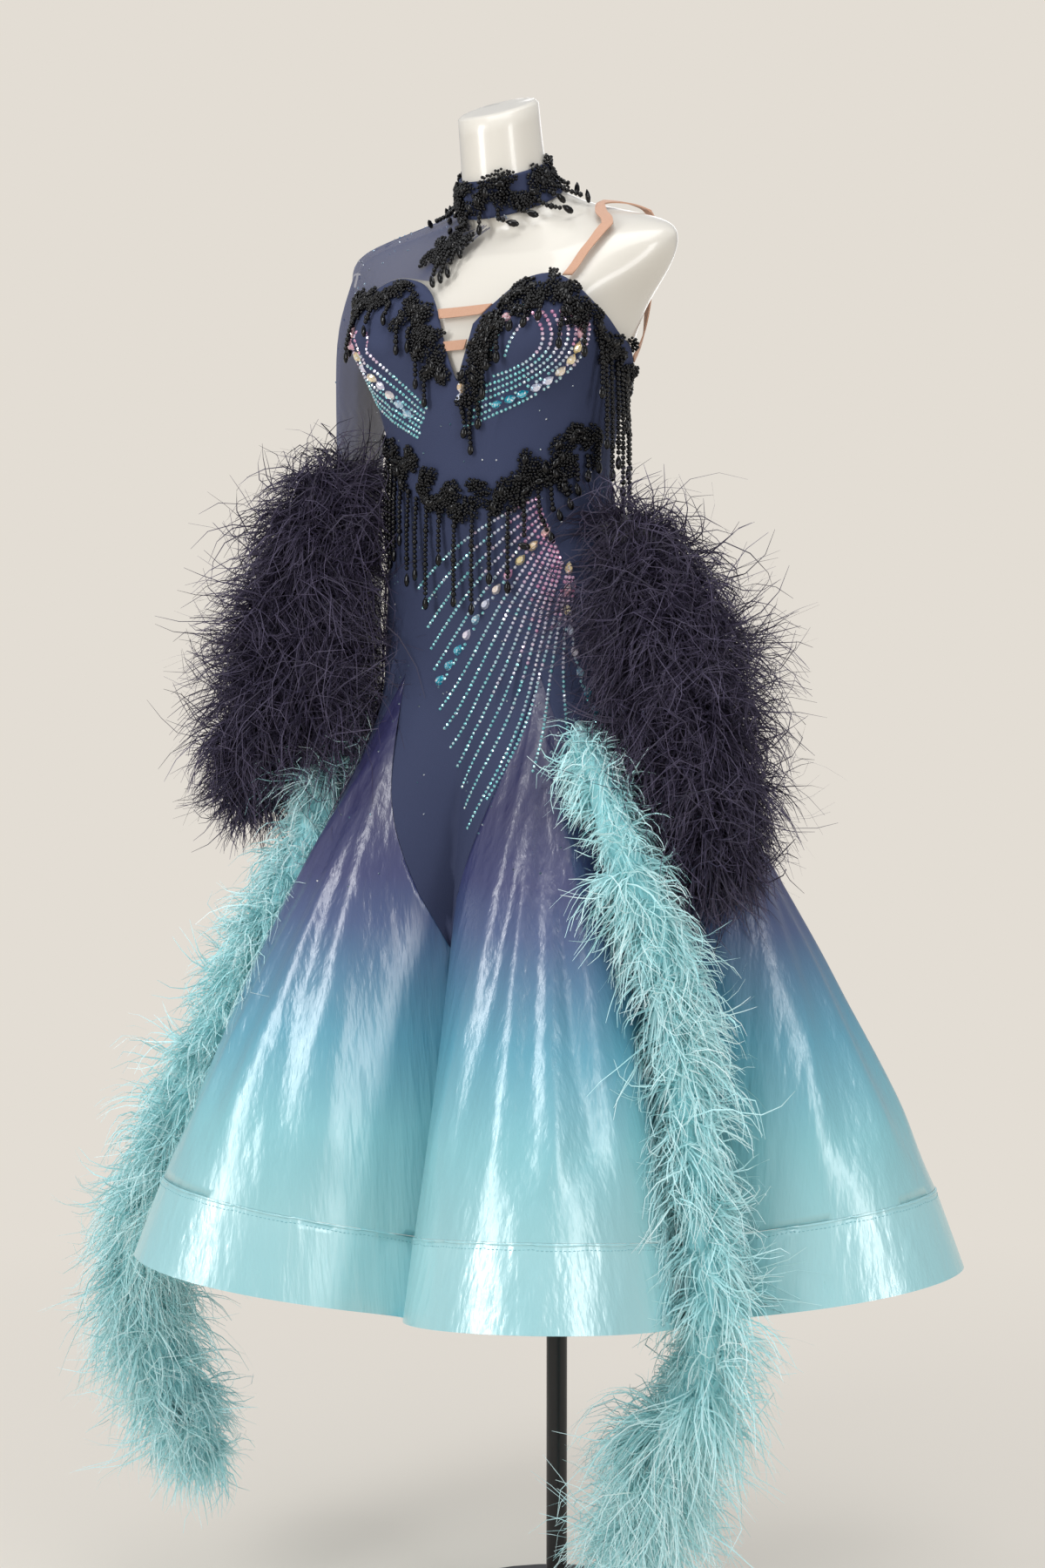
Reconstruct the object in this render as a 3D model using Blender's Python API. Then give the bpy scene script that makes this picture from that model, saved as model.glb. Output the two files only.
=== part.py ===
"""A ballroom gown on a limbless dress form and its stand. Metres, +Z up, the wearer faces -Y, and the
origin is the centre of the stand's underside on the floor."""

import math

import bmesh
import bpy
import numpy as np
from mathutils import Vector
from mathutils.bvhtree import BVHTree

# ---------------------------------------------------------------- driving dimensions
POLE_RADIUS = 0.0117
BASE_RADIUS = 0.180
BASE_THICK = 0.008
BOSS_RADIUS = 0.026
BOSS_HEIGHT = 0.030
FORM_BOTTOM = 0.955

# Rings of the form below its hips: height, how far each is drawn in. Then the heights above them.
FORM_FOOT = ((FORM_BOTTOM, 0.040), (FORM_BOTTOM + 0.008, 0.028), (0.990, 0.018), (1.040, 0.008))
FORM_LEVELS = (1.087, 1.130, 1.180, 1.225, 1.260, 1.290, 1.325, 1.360, 1.395, 1.425, 1.455, 1.480,
               1.505, 1.530, 1.550, 1.563, 1.573, 1.580, 1.587, 1.594, 1.599, 1.604, 1.612, 1.632,
               1.692)
CROWN_IN = 0.007
CROWN_UP = 0.004
SEAM = 0.0003
SEAM_RADIUS = 0.200

HEM_CREST = 0.474
HEM_VALLEY = 0.426
HEM_BAND = 0.080
APEX_HEIGHT = 1.087
POINT_HEIGHT = 0.800
GODET_COUNT = 6
GODET_SPAN = 360 / GODET_COUNT
SLANTED_SEAM = 0.0010

COLUMN_STEP = 6
BODY_ROWS = 12
YOKE_ROWS = 6
FORM_INSET = 0.0056
NECK_INSET = 0.0026
CLOTH_IN = 0.0006
CREPE_OUT = 0.0021
SATIN_OUT = 0.0021
NET_OUT = 0.0016
BAND_OUT = 0.0026
COLLAR_IN = -0.0013
COLLAR_OUT = 0.0008

COLLAR_BOTTOM = 1.599
COLLAR_TOP = 1.630
ARMHOLE_ANGLE = -90
ARMHOLE_WIDE = 24
ARMHOLE_HEIGHT = 1.496
ARMHOLE_HALF = 0.044

# Sections of the figure and of the skirt below its hips.
# height, half width, front depth, back depth, centre x, centre y, flute depth
SECTIONS = (
    (0.400, 0.285, 0.285, 0.285, 0.000, 0.000, 0.205),
    (0.470, 0.272, 0.270, 0.270, 0.000, 0.000, 0.200),
    (0.550, 0.254, 0.248, 0.248, 0.000, -0.002, 0.188),
    (0.650, 0.232, 0.218, 0.222, -0.001, -0.008, 0.165),
    (0.800, 0.204, 0.178, 0.186, -0.004, -0.020, 0.118),
    (0.950, 0.184, 0.144, 0.154, -0.008, -0.032, 0.056),
    (1.030, 0.175, 0.130, 0.142, -0.010, -0.037, 0.020),
    (1.087, 0.172, 0.124, 0.136, -0.012, -0.040, 0.000),
    (1.120, 0.169, 0.122, 0.132, -0.012, -0.043, 0.000),
    (1.200, 0.147, 0.108, 0.110, -0.018, -0.062, 0.000),
    (1.285, 0.119, 0.098, 0.092, -0.020, -0.080, 0.000),
    (1.360, 0.134, 0.106, 0.096, -0.020, -0.079, 0.000),
    (1.430, 0.156, 0.108, 0.104, -0.020, -0.074, 0.000),
    (1.468, 0.167, 0.104, 0.103, -0.020, -0.071, 0.000),
    (1.488, 0.181, 0.097, 0.098, -0.020, -0.068, 0.000),
    (1.513, 0.203, 0.086, 0.088, -0.019, -0.064, 0.000),
    (1.541, 0.213, 0.077, 0.078, -0.018, -0.060, 0.000),
    (1.560, 0.205, 0.070, 0.071, -0.018, -0.057, 0.000),
    (1.571, 0.182, 0.066, 0.067, -0.017, -0.055, 0.000),
    (1.579, 0.142, 0.062, 0.062, -0.016, -0.055, 0.000),
    (1.587, 0.092, 0.057, 0.055, -0.015, -0.059, 0.000),
    (1.597, 0.059, 0.053, 0.051, -0.016, -0.066, 0.000),
    (1.610, 0.050, 0.049, 0.048, -0.017, -0.074, 0.000),
    (1.632, 0.047, 0.048, 0.047, -0.018, -0.081, 0.000),
    (1.705, 0.046, 0.047, 0.046, -0.020, -0.088, 0.000),
)
SECTION_STEP = 0.001
FLUTE_ROUNDNESS = 2.2
VALLEY_ROUNDNESS = 0.12
SECTION_BLEND = 12

# How far the neck's sections tip down towards the front: height, slope.
NECK_TIP = ((1.530, 0.0), (1.575, 0.32), (1.597, 0.52), (1.630, 0.40), (1.705, 0.37))

# Each cup of the bodice: its angle, its height, how far it stands out, and how wide it is.
CUP_ANGLE = 38
CUP_HEIGHT = 1.437
CUP_PROUD = 0.036
CUP_WIDE = 21
CUP_ABOVE = 0.062
CUP_BELOW = 0.042

# How full each flute of the skirt is, from the wearer's right back round to the left back.
FLUTE_FULLNESS = {-150: 0.98, -90: 1.00, -30: 1.10, 30: 1.00, 90: 1.06, 150: 0.96}

# Top edge of the front and of the back: angle, height. The armhole cuts the wearer's right side.
FRONT_EDGE = (
    (-66, 1.496), (-48, 1.498), (-36, 1.500), (-30, 1.510), (-24, 1.513), (-18, 1.508), (-12, 1.500),
    (-6, 1.476), (0, 1.424), (6, 1.394), (12, 1.452), (18, 1.470), (24, 1.496), (30, 1.503),
    (36, 1.500), (42, 1.492), (54, 1.474), (66, 1.460), (78, 1.443), (90, 1.433),
)
BACK_EDGE = (
    (90, 1.433), (108, 1.408), (138, 1.375), (180, 1.362), (204, 1.385), (228, 1.444), (246, 1.496),
)
# Neckline of the net yoke, from the right cup up to the collar: angle, height.
YOKE_EDGE = ((-12, 1.504), (-6, 1.538), (0, 1.580), (6, 1.588), (24, 1.594))
YOKE_CENTRE_BACK = 186

# Narrow straps as centre lines on the figure: angle, height.
SHOULDER_STRAP = (
    (38.9, 1.4987), (39.6, 1.530), (43, 1.556), (52, 1.571), (66, 1.580), (80, 1.5835), (96, 1.586),
    (112, 1.583), (128, 1.572), (138, 1.552), (140, 1.524), (133, 1.492), (120, 1.464), (109, 1.442),
    (100.5, 1.4213),
)
# Keyhole straps: height, and the angles of both ends along the lower and along the upper edge.
KEYHOLE_STRAPS = {
    "upper": (1.4665, (-4.11, 14.89), (-5.26, 18.07)),
    "lower": (1.4315, (-0.07, 9.14), (-1.22, 10.18)),
}
STRAP_WIDTH = 0.010

# Sleeve rings below the armhole: outer x, outer height, inner x, inner height, centre y, half depth
SLEEVE_RINGS = (
    (-0.2440, 1.484, -0.1960, 1.430, -0.064, 0.044),
    (-0.2500, 1.415, -0.2030, 1.378, -0.062, 0.037),
    (-0.2545, 1.330, -0.2090, 1.308, -0.058, 0.032),
    (-0.2560, 1.235, -0.2120, 1.225, -0.055, 0.031),
    (-0.2560, 1.130, -0.2130, 1.127, -0.055, 0.030),
    (-0.2550, 1.020, -0.2140, 1.020, -0.055, 0.028),
)
SLEEVE_QUARTER = 4
SLEEVE_WALL = 0.0010

# Beaded trims as centre lines on the gown (angle, height), with their width, how far they lie off the
# cloth, how many strands hang from each, and the strands' lengths, which are used in turn.
TRIMS = {
    "collar": dict(
        line=((-128, 1.6145), (-60, 1.6145), (0, 1.6145), (60, 1.6145), (128, 1.6145)),
        width=0.022, lift=0.0012, strands=13, lengths=(0.026, 0.040, 0.030, 0.050, 0.024, 0.044),
    ),
    "yoke": dict(
        line=((-12.5, 1.527), (-9.8, 1.541), (-4.6, 1.577)),
        width=0.014, lift=0.0015, strands=4, lengths=(0.036, 0.044, 0.048, 0.034),
    ),
    "right_cup": dict(
        line=((-58, 1.479), (-46, 1.481), (-38, 1.485), (-31, 1.491), (-24, 1.491), (-18, 1.482),
              (-13.5, 1.466), (-10, 1.448), (-7.3, 1.424), (-2.7, 1.396)),
        width=0.022, lift=0.0015, strands=8, lengths=(0.040, 0.060, 0.046, 0.034, 0.054, 0.030, 0.044, 0.036),
    ),
    "left_cup": dict(
        line=((14.9, 1.402), (18.4, 1.436), (22, 1.454), (26, 1.468), (30, 1.478), (35, 1.482),
              (41, 1.477), (48, 1.466), (59, 1.451)),
        width=0.022, lift=0.0015, strands=8, lengths=(0.036, 0.028, 0.040, 0.026, 0.036, 0.030, 0.044, 0.034),
    ),
    "side": dict(
        line=((65, 1.446), (76, 1.431), (88, 1.420), (106, 1.396)),
        width=0.020, lift=0.0012, strands=8, lengths=(0.060, 0.104, 0.130, 0.112, 0.136),
    ),
    "waist": dict(
        line=((-62, 1.345), (-42, 1.324), (-28, 1.302), (-10, 1.281), (6, 1.270), (22, 1.272),
              (40, 1.288), (56, 1.308), (70, 1.331), (82, 1.344)),
        width=0.028, lift=0.0015, strands=20,
        lengths=(0.080, 0.100, 0.112, 0.096, 0.070, 0.104, 0.090, 0.112, 0.060, 0.098, 0.106, 0.076,
                 0.092, 0.058, 0.066, 0.048, 0.040, 0.036, 0.030, 0.028),
    ),
}
STRAND_WIDTH = 0.0048
DROP_WIDTH = 0.0066
DROP_LENGTH = 0.016
BEADS_THICK = 0.0030
STRAND_LIFT = 0.0052
# How far ahead and behind a band's line is looked at for its direction.
LOOK_ALONG = 0.012

# How far the search for the gown's skin starts outside it, and how far to each side it looks.
SEARCH_OUT = 0.035
NEAR_ANGLE = 1.3
NEAR_HEIGHT = 0.004
HANG_STEP = 0.001

# Feather floats. Each route starts on what carries it; its rows are x, y, z, core radius and how far
# the locks stand out.
FLOATS = {
    "float_right_dark": dict(
        tint="feather_dark",
        route=((-0.233, -0.120, 1.315, 0.007, 0.000), (-0.229, -0.126, 1.285, 0.026, 0.070),
               (-0.247, -0.138, 1.208, 0.034, 0.090), (-0.261, -0.148, 1.120, 0.036, 0.092),
               (-0.286, -0.162, 1.022, 0.034, 0.088), (-0.305, -0.172, 0.945, 0.016, 0.055)),
        gaps=13,
    ),
    "float_right_aqua": dict(
        tint="feather_aqua",
        route=((-0.222, -0.112, 1.045, 0.007, 0.000), (-0.205, -0.132, 1.015, 0.018, 0.040),
               (-0.226, -0.172, 0.869, 0.026, 0.060), (-0.262, -0.207, 0.772, 0.026, 0.062),
               (-0.310, -0.222, 0.671, 0.026, 0.062), (-0.376, -0.222, 0.564, 0.026, 0.062),
               (-0.441, -0.200, 0.452, 0.026, 0.062), (-0.462, -0.181, 0.343, 0.026, 0.064),
               (-0.428, -0.159, 0.239, 0.026, 0.066), (-0.396, -0.140, 0.160, 0.014, 0.045)),
        gaps=17,
    ),
    "float_left_dark": dict(
        tint="feather_dark",
        route=((0.120, -0.092, 1.244, 0.006, 0.000), (0.151, -0.104, 1.240, 0.017, 0.066),
               (0.172, -0.094, 1.206, 0.031, 0.086), (0.192, -0.094, 1.150, 0.035, 0.092),
               (0.214, -0.104, 1.066, 0.037, 0.096), (0.246, -0.112, 0.977, 0.036, 0.094),
               (0.276, -0.118, 0.890, 0.016, 0.055)),
        gaps=14,
    ),
    "float_left_aqua": dict(
        tint="feather_aqua",
        route=((0.128, -0.150, 1.040, 0.006, 0.000), (0.152, -0.172, 1.010, 0.016, 0.040),
               (0.190, -0.190, 0.944, 0.019, 0.050), (0.220, -0.187, 0.874, 0.020, 0.054),
               (0.242, -0.173, 0.798, 0.020, 0.056), (0.259, -0.175, 0.715, 0.020, 0.056),
               (0.275, -0.182, 0.628, 0.020, 0.056), (0.290, -0.190, 0.540, 0.020, 0.058),
               (0.306, -0.195, 0.455, 0.020, 0.058), (0.286, -0.188, 0.375, 0.026, 0.066),
               (0.232, -0.170, 0.290, 0.026, 0.068), (0.204, -0.154, 0.200, 0.026, 0.066),
               (0.192, -0.145, 0.090, 0.014, 0.045)),
        gaps=18,
    ),
}
ROOT_LIFT = 0.0006
CORE_SIDES = 6
LOCK_DROOP = 0.75
FLOOR_CLEAR = 0.010

# slot: red, green, blue, roughness, metallic
FINISHES = {
    "form_gloss": (0.84, 0.82, 0.79, 0.16, 0.0),
    "stand_black": (0.012, 0.012, 0.013, 0.35, 0.0),
    "crepe_navy": (0.045, 0.060, 0.165, 0.75, 0.0),
    "net_navy": (0.035, 0.045, 0.120, 0.80, 0.0),
    "satin_ombre": (0.160, 0.420, 0.580, 0.30, 0.0),
    "satin_aqua": (0.200, 0.640, 0.720, 0.30, 0.0),
    "nude_elastic": (0.700, 0.380, 0.250, 0.70, 0.0),
    "beads_black": (0.010, 0.010, 0.012, 0.15, 0.0),
    "feather_dark": (0.050, 0.038, 0.095, 0.85, 0.0),
    "feather_aqua": (0.240, 0.680, 0.750, 0.85, 0.0),
}


# ---------------------------------------------------------------- scene and materials
def clear_scene():
    for obj in list(bpy.data.objects):
        bpy.data.objects.remove(obj, do_unlink=True)


def material(slot):
    """The slot's Principled material, made on its first use."""
    found = bpy.data.materials.get(slot)
    if found:
        return found
    red, green, blue, roughness, metallic = FINISHES[slot]
    made = bpy.data.materials.new(slot)
    made.use_nodes = True
    shader = made.node_tree.nodes["Principled BSDF"]
    shader.inputs["Base Color"].default_value = (red, green, blue, 1)
    shader.inputs["Roughness"].default_value = roughness
    shader.inputs["Metallic"].default_value = metallic
    made.diffuse_color = (red, green, blue, 1)
    return made


def add_object(name, bm, slot, sharp=35):
    """Links the finished mesh as a smooth-shaded object."""
    bmesh.ops.recalc_face_normals(bm, faces=bm.faces)
    mesh = bpy.data.meshes.new(name)
    bm.to_mesh(mesh)
    bm.free()
    mesh.shade_smooth()
    mesh.set_sharp_from_angle(angle=math.radians(sharp))
    mesh.materials.append(material(slot))
    obj = bpy.data.objects.new(name, mesh)
    bpy.context.scene.collection.objects.link(obj)
    return obj


# ---------------------------------------------------------------- the figure's surface
def read_sections():
    """The section table read every millimetre of height, its corners rounded by a moving average."""
    table = np.array(SECTIONS)
    heights = np.arange(table[0, 0], table[-1, 0], SECTION_STEP)
    weights = np.hanning(2 * SECTION_BLEND + 1)
    columns = []
    for column in table.T[1:]:
        values = np.interp(heights, table[:, 0], column)
        padded = np.pad(values, SECTION_BLEND, mode="edge")
        columns.append(np.convolve(padded, weights / weights.sum(), mode="valid"))
    return heights, columns


SECTION_HEIGHTS, SECTION_COLUMNS = read_sections()


def flute_shape(angle):
    """0 in a valley and about 1 on a crest, with broad crests and narrow valleys."""
    crest = np.round((angle - GODET_SPAN / 2) / GODET_SPAN) * GODET_SPAN + GODET_SPAN / 2
    off_crest = np.abs(angle - crest) / (GODET_SPAN / 2)
    wrapped = np.mod(crest + 180, 360) - 180
    fullness = np.ones_like(wrapped)
    for lobe, value in FLUTE_FULLNESS.items():
        fullness = np.where(np.abs(wrapped - lobe) < 1, value, fullness)
    rise = np.hypot(1 - off_crest**FLUTE_ROUNDNESS, VALLEY_ROUNDNESS) - VALLEY_ROUNDNESS
    return fullness * rise / (math.hypot(1, VALLEY_ROUNDNESS) - VALLEY_ROUNDNESS)


def bare_surface(angle, height):
    """Points at angles from the front (degrees, the wearer's left positive) and at heights."""
    values = [np.interp(height, SECTION_HEIGHTS, column) for column in SECTION_COLUMNS]
    half_width, front, back, centre_x, centre_y, flute = values
    turn = np.radians(angle)
    depth = np.where(np.cos(turn) > 0, front, back)
    off_cup = np.abs(np.mod(angle + 180, 360) - 180) - CUP_ANGLE
    spread = np.where(height > CUP_HEIGHT, CUP_ABOVE, CUP_BELOW)
    cup = CUP_PROUD * np.exp(-((off_cup / CUP_WIDE) ** 2) - ((height - CUP_HEIGHT) / spread) ** 2)
    swell = flute * flute_shape(angle) + cup
    x = centre_x + (half_width + swell) * np.sin(turn)
    y = centre_y - (depth + swell) * np.cos(turn)
    tip = np.interp(height, *np.array(NECK_TIP).T)
    return np.stack([x, y, height + tip * (y - centre_y)], axis=-1)


def surface(angle, height, proud=0.0):
    """Points on the figure's surface, moved out along its normal. Both sides of a seam, which lie
    close to a whole degree, take that degree's normal, so that they stay apart."""
    angle, height = np.broadcast_arrays(np.asarray(angle, float), np.asarray(height, float))
    whole = np.round(angle)
    middle = np.where(np.abs(angle - whole) < 0.2, whole, angle)
    across = bare_surface(middle + 0.4, height) - bare_surface(middle - 0.4, height)
    upward = bare_surface(middle, height + 0.001) - bare_surface(middle, height - 0.001)
    normal = np.cross(across, upward)
    normal /= np.linalg.norm(normal, axis=-1, keepdims=True)
    return bare_surface(angle, height) + normal * proud


# ---------------------------------------------------------------- cloth walls
def grid_wall(name, slot, outer, inner, wrap=False):
    """A closed wall between two grids of points, indexed [column, row, xyz]."""
    bm = bmesh.new()
    columns, rows = outer.shape[:2]
    skins = [[[bm.verts.new(p) for p in column] for column in grid] for grid in (outer, inner)]
    last = columns if wrap else columns - 1
    for skin in skins:
        for i in range(last):
            left, right = skin[i], skin[(i + 1) % columns]
            for j in range(rows - 1):
                bm.faces.new((left[j], left[j + 1], right[j + 1], right[j]))
    out, into = skins
    for i in range(last):
        k = (i + 1) % columns
        for j in (0, rows - 1):
            bm.faces.new((out[i][j], out[k][j], into[k][j], into[i][j]))
    if not wrap:
        for i in (0, columns - 1):
            for j in range(rows - 1):
                bm.faces.new((out[i][j], out[i][j + 1], into[i][j + 1], into[i][j]))
    return add_object(name, bm, slot)


def panel(name, slot, angles, tops, bottoms, rows, inside, outside, wrap=False, crowd=1.0):
    """A cloth panel whose columns stand at the given angles, from its bottom to its top edge. Its rows
    crowd towards the top where crowd is over 1."""
    share = 1 - (1 - np.linspace(0, 1, rows + 1)) ** crowd
    heights = bottoms[:, None] + (tops - bottoms)[:, None] * share
    spread = np.repeat(angles[:, None], rows + 1, axis=1)
    outer = surface(spread, heights, outside)
    inner = surface(spread, heights, inside)
    return grid_wall(name, slot, outer, inner, wrap)


def columns_between(first, last, step=COLUMN_STEP):
    """Column angles of a panel, its two edges drawn back by half a seam."""
    angles = np.arange(first, last + 0.1, step, dtype=float)
    drawn_back = math.degrees(SEAM / SEAM_RADIUS)
    angles[0] += drawn_back
    angles[-1] -= drawn_back
    return angles


def armhole_reach(angle):
    """How far the armhole's edge lies above and below its middle at an angle."""
    off = np.clip((np.asarray(angle) - ARMHOLE_ANGLE) / ARMHOLE_WIDE, -1, 1)
    return ARMHOLE_HALF * np.sqrt(1 - off**2)


def front_edge(angles):
    edge = np.interp(angles, *np.array(FRONT_EDGE).T)
    under = ARMHOLE_HEIGHT - armhole_reach(angles)
    return np.where(angles < ARMHOLE_ANGLE + ARMHOLE_WIDE, under, edge)


def back_edge(angles):
    edge = np.interp(angles, *np.array(BACK_EDGE).T)
    under = ARMHOLE_HEIGHT - armhole_reach(angles - 360)
    return np.where(angles - 360 > ARMHOLE_ANGLE - ARMHOLE_WIDE, under, edge)


def godet_seam(angles):
    """Height of the seam between the crepe and the godets: its apexes and its points."""
    off_point = np.abs(np.mod(angles + GODET_SPAN / 2, GODET_SPAN) - GODET_SPAN / 2)
    return POINT_HEIGHT + (APEX_HEIGHT - POINT_HEIGHT) * off_point / (GODET_SPAN / 2)


def hem_height(angles):
    return HEM_VALLEY + (HEM_CREST - HEM_VALLEY) * flute_shape(angles)


def make_body():
    for name, first, edge in (("body_front", -90, front_edge), ("body_back", 90, back_edge)):
        angles = columns_between(first, first + 180)
        bottoms = godet_seam(angles) + SLANTED_SEAM
        panel(name, "crepe_navy", angles, edge(angles), bottoms, BODY_ROWS, CLOTH_IN, CREPE_OUT,
              crowd=1.25)


def make_skirt():
    for number in range(GODET_COUNT):
        first = number * GODET_SPAN
        angles = columns_between(first, first + GODET_SPAN)
        tops = godet_seam(angles)
        bottoms = hem_height(angles) + HEM_BAND + SEAM
        panel(f"godet_{number + 1}", "satin_ombre", angles, tops, bottoms, 6, CLOTH_IN, SATIN_OUT)
    angles = np.arange(0, 360, COLUMN_STEP, dtype=float)
    hem = hem_height(angles)
    panel("hem_band", "satin_aqua", angles, hem + HEM_BAND, hem, 1, CLOTH_IN, BAND_OUT, wrap=True)


def make_yoke():
    """The net over the right shoulder, in a front and a back that meet on the shoulder."""
    angles = columns_between(-90, 24)
    over = ARMHOLE_HEIGHT + armhole_reach(angles)
    bottoms = np.where(
        angles < ARMHOLE_ANGLE + ARMHOLE_WIDE, over,
        np.maximum(front_edge(angles), np.interp(angles, *np.array(YOKE_EDGE).T, left=0)),
    )
    tops = np.full_like(angles, COLLAR_BOTTOM - SEAM)
    panel("yoke_front", "net_navy", angles, tops, bottoms + SLANTED_SEAM, YOKE_ROWS, CLOTH_IN, NET_OUT,
          crowd=1.7)
    angles = columns_between(YOKE_CENTRE_BACK, 270)
    over = ARMHOLE_HEIGHT + armhole_reach(angles - 360)
    bottoms = np.where(angles - 360 > ARMHOLE_ANGLE - ARMHOLE_WIDE, over, back_edge(angles))
    tops = np.full_like(angles, COLLAR_BOTTOM - SEAM)
    panel("yoke_back", "net_navy", angles, tops, bottoms + SLANTED_SEAM, YOKE_ROWS, CLOTH_IN, NET_OUT,
          crowd=1.7)


def make_collar():
    angles = np.arange(0, 360, 15, dtype=float)
    tops = np.full_like(angles, COLLAR_TOP)
    bottoms = np.full_like(angles, COLLAR_BOTTOM)
    panel("collar", "crepe_navy", angles, tops, bottoms, 3, COLLAR_IN, COLLAR_OUT, wrap=True)


def sleeve_turns():
    """Turns round the sleeve whose sines step evenly, so that its top matches the armhole's columns."""
    steps = np.arange(4 * SLEEVE_QUARTER)
    sines = np.abs(np.mod(steps + SLEEVE_QUARTER, 4 * SLEEVE_QUARTER) - 2 * SLEEVE_QUARTER)
    turns = np.arcsin(1 - sines / SLEEVE_QUARTER)
    falling = (steps > SLEEVE_QUARTER) & (steps < 3 * SLEEVE_QUARTER)
    return np.where(falling, math.pi - turns, turns)


def make_sleeve():
    """The empty net sleeve: its top ring follows the armhole, and the others hang below it."""
    turns = sleeve_turns()
    skins = []
    for inset in (0.0, SLEEVE_WALL):
        half = ARMHOLE_HALF - SLANTED_SEAM - inset
        angles = ARMHOLE_ANGLE + ARMHOLE_WIDE * half / ARMHOLE_HALF * np.sin(turns)
        heights = ARMHOLE_HEIGHT + half * np.cos(turns)
        rings = [surface(angles, heights, (CLOTH_IN + NET_OUT) / 2)]
        for outer_x, outer_z, inner_x, inner_z, centre_y, depth in SLEEVE_RINGS:
            middle = np.array([(outer_x + inner_x) / 2, centre_y, (outer_z + inner_z) / 2])
            reach = np.array([outer_x - inner_x, 0, outer_z - inner_z]) / 2
            reach *= 1 - inset / np.linalg.norm(reach)
            side = np.array([0, -(depth - inset), 0])
            rings.append(middle + np.outer(np.cos(turns), reach) + np.outer(np.sin(turns), side))
        skins.append(np.stack(rings, axis=1))
    grid_wall("sleeve", "net_navy", skins[0], skins[1], wrap=True)


# ---------------------------------------------------------------- lines on the gown
def along_line(rows, distances):
    """Angles and heights at distances along a line on the gown, and the line's whole length."""
    rows = np.array(rows, float)
    share = np.linspace(0, len(rows) - 1, 40 * len(rows))
    angles = np.interp(share, np.arange(len(rows)), rows[:, 0])
    heights = np.interp(share, np.arange(len(rows)), rows[:, 1])
    places = surface(angles, heights, CREPE_OUT)
    steps = np.linalg.norm(np.diff(places, axis=0), axis=1)
    gone = np.concatenate([[0], np.cumsum(steps)])
    if distances is None:
        return gone[-1]
    return np.interp(distances, gone, angles), np.interp(distances, gone, heights)


def ribbon(rows, distances, width):
    """Angles and heights of the lower and upper edges of a band that follows a line: [column, edge]."""
    angles, heights = along_line(rows, distances)
    here = bare_surface(angles, heights)
    per_degree = np.linalg.norm(bare_surface(angles + 1, heights) - here, axis=1)
    per_height = np.linalg.norm(bare_surface(angles, heights + 0.001) - here, axis=1) / 0.001
    ahead, behind = along_line(rows, distances + LOOK_ALONG), along_line(rows, distances - LOOK_ALONG)
    run = (ahead[0] - behind[0]) * per_degree
    rise = (ahead[1] - behind[1]) * per_height
    length = np.hypot(run, rise)
    step_angle = -rise / length * width / 2 / per_degree
    step_height = run / length * width / 2 / per_height
    spread = np.stack([angles - step_angle, angles + step_angle], axis=1)
    levels = np.stack([heights - step_height, heights + step_height], axis=1)
    return spread, levels


def make_straps():
    length = along_line(SHOULDER_STRAP, None)
    distances = np.linspace(0, length, 26)
    angles, heights = ribbon(SHOULDER_STRAP, distances, STRAP_WIDTH)
    outer = surface(angles, heights, CREPE_OUT)
    inner = surface(angles, heights, CLOTH_IN)
    grid_wall("strap_shoulder", "nude_elastic", outer, inner)
    for name, (height, lower, upper) in KEYHOLE_STRAPS.items():
        angles = np.linspace((lower[0], upper[0]), (lower[1], upper[1]), 7)
        heights = np.repeat([[height - STRAP_WIDTH / 2, height + STRAP_WIDTH / 2]], 7, axis=0)
        outer = surface(angles, heights, CREPE_OUT)
        inner = surface(angles, heights, CLOTH_IN)
        grid_wall(f"strap_keyhole_{name}", "nude_elastic", outer, inner)


def skin_tree(names):
    """A tree of the named objects' faces, for placing things on them."""
    points, faces = [], []
    for name in names:
        mesh = bpy.data.objects[name].data
        first = len(points)
        points += [vert.co.copy() for vert in mesh.vertices]
        faces += [[first + k for k in face.vertices] for face in mesh.polygons]
    return BVHTree.FromPolygons(points, faces)


def settle(tree, angle, height, lift):
    """A point at an angle and a height of the gown, lifted off the outermost face within a few
    millimetres of it."""
    angles = angle + np.array([0, -NEAR_ANGLE, NEAR_ANGLE, 0, 0])
    heights = height + np.array([0, 0, 0, -NEAR_HEIGHT, NEAR_HEIGHT])
    starts = surface(angles, heights, SEARCH_OUT)
    inward = surface(angles, heights) - starts
    inward /= np.linalg.norm(inward, axis=1, keepdims=True)
    depth = SEARCH_OUT
    for start, direction in zip(starts, inward):
        found = tree.ray_cast(Vector(start), Vector(direction), 1.3 * SEARCH_OUT)[3]
        depth = depth if found is None else min(depth, found)
    return starts[0] + inward[0] * (depth - lift)


def hanging_points(tree, angle, height, marks):
    """Places along a strand that hangs from a point of the gown: down its surface where that slopes
    out, and straight down where it falls away."""
    place = settle(tree, angle, height, STRAND_LIFT)
    outward = surface(angle, height, 1.0) - surface(angle, height)
    outward[2] = 0
    outward /= np.linalg.norm(outward)
    track, gone, level = [place], [0.0], height
    while gone[-1] < marks[-1]:
        level -= HANG_STEP
        spot = settle(tree, angle, level, STRAND_LIFT)
        if np.dot(spot - track[-1], outward) < 0:
            spot = np.array([track[-1][0], track[-1][1], spot[2]])
        gone.append(gone[-1] + np.linalg.norm(spot - track[-1]))
        track.append(spot)
    track = np.array(track)
    spots = [[np.interp(mark, gone, column) for column in track.T] for mark in marks]
    return np.array(spots), outward


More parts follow.
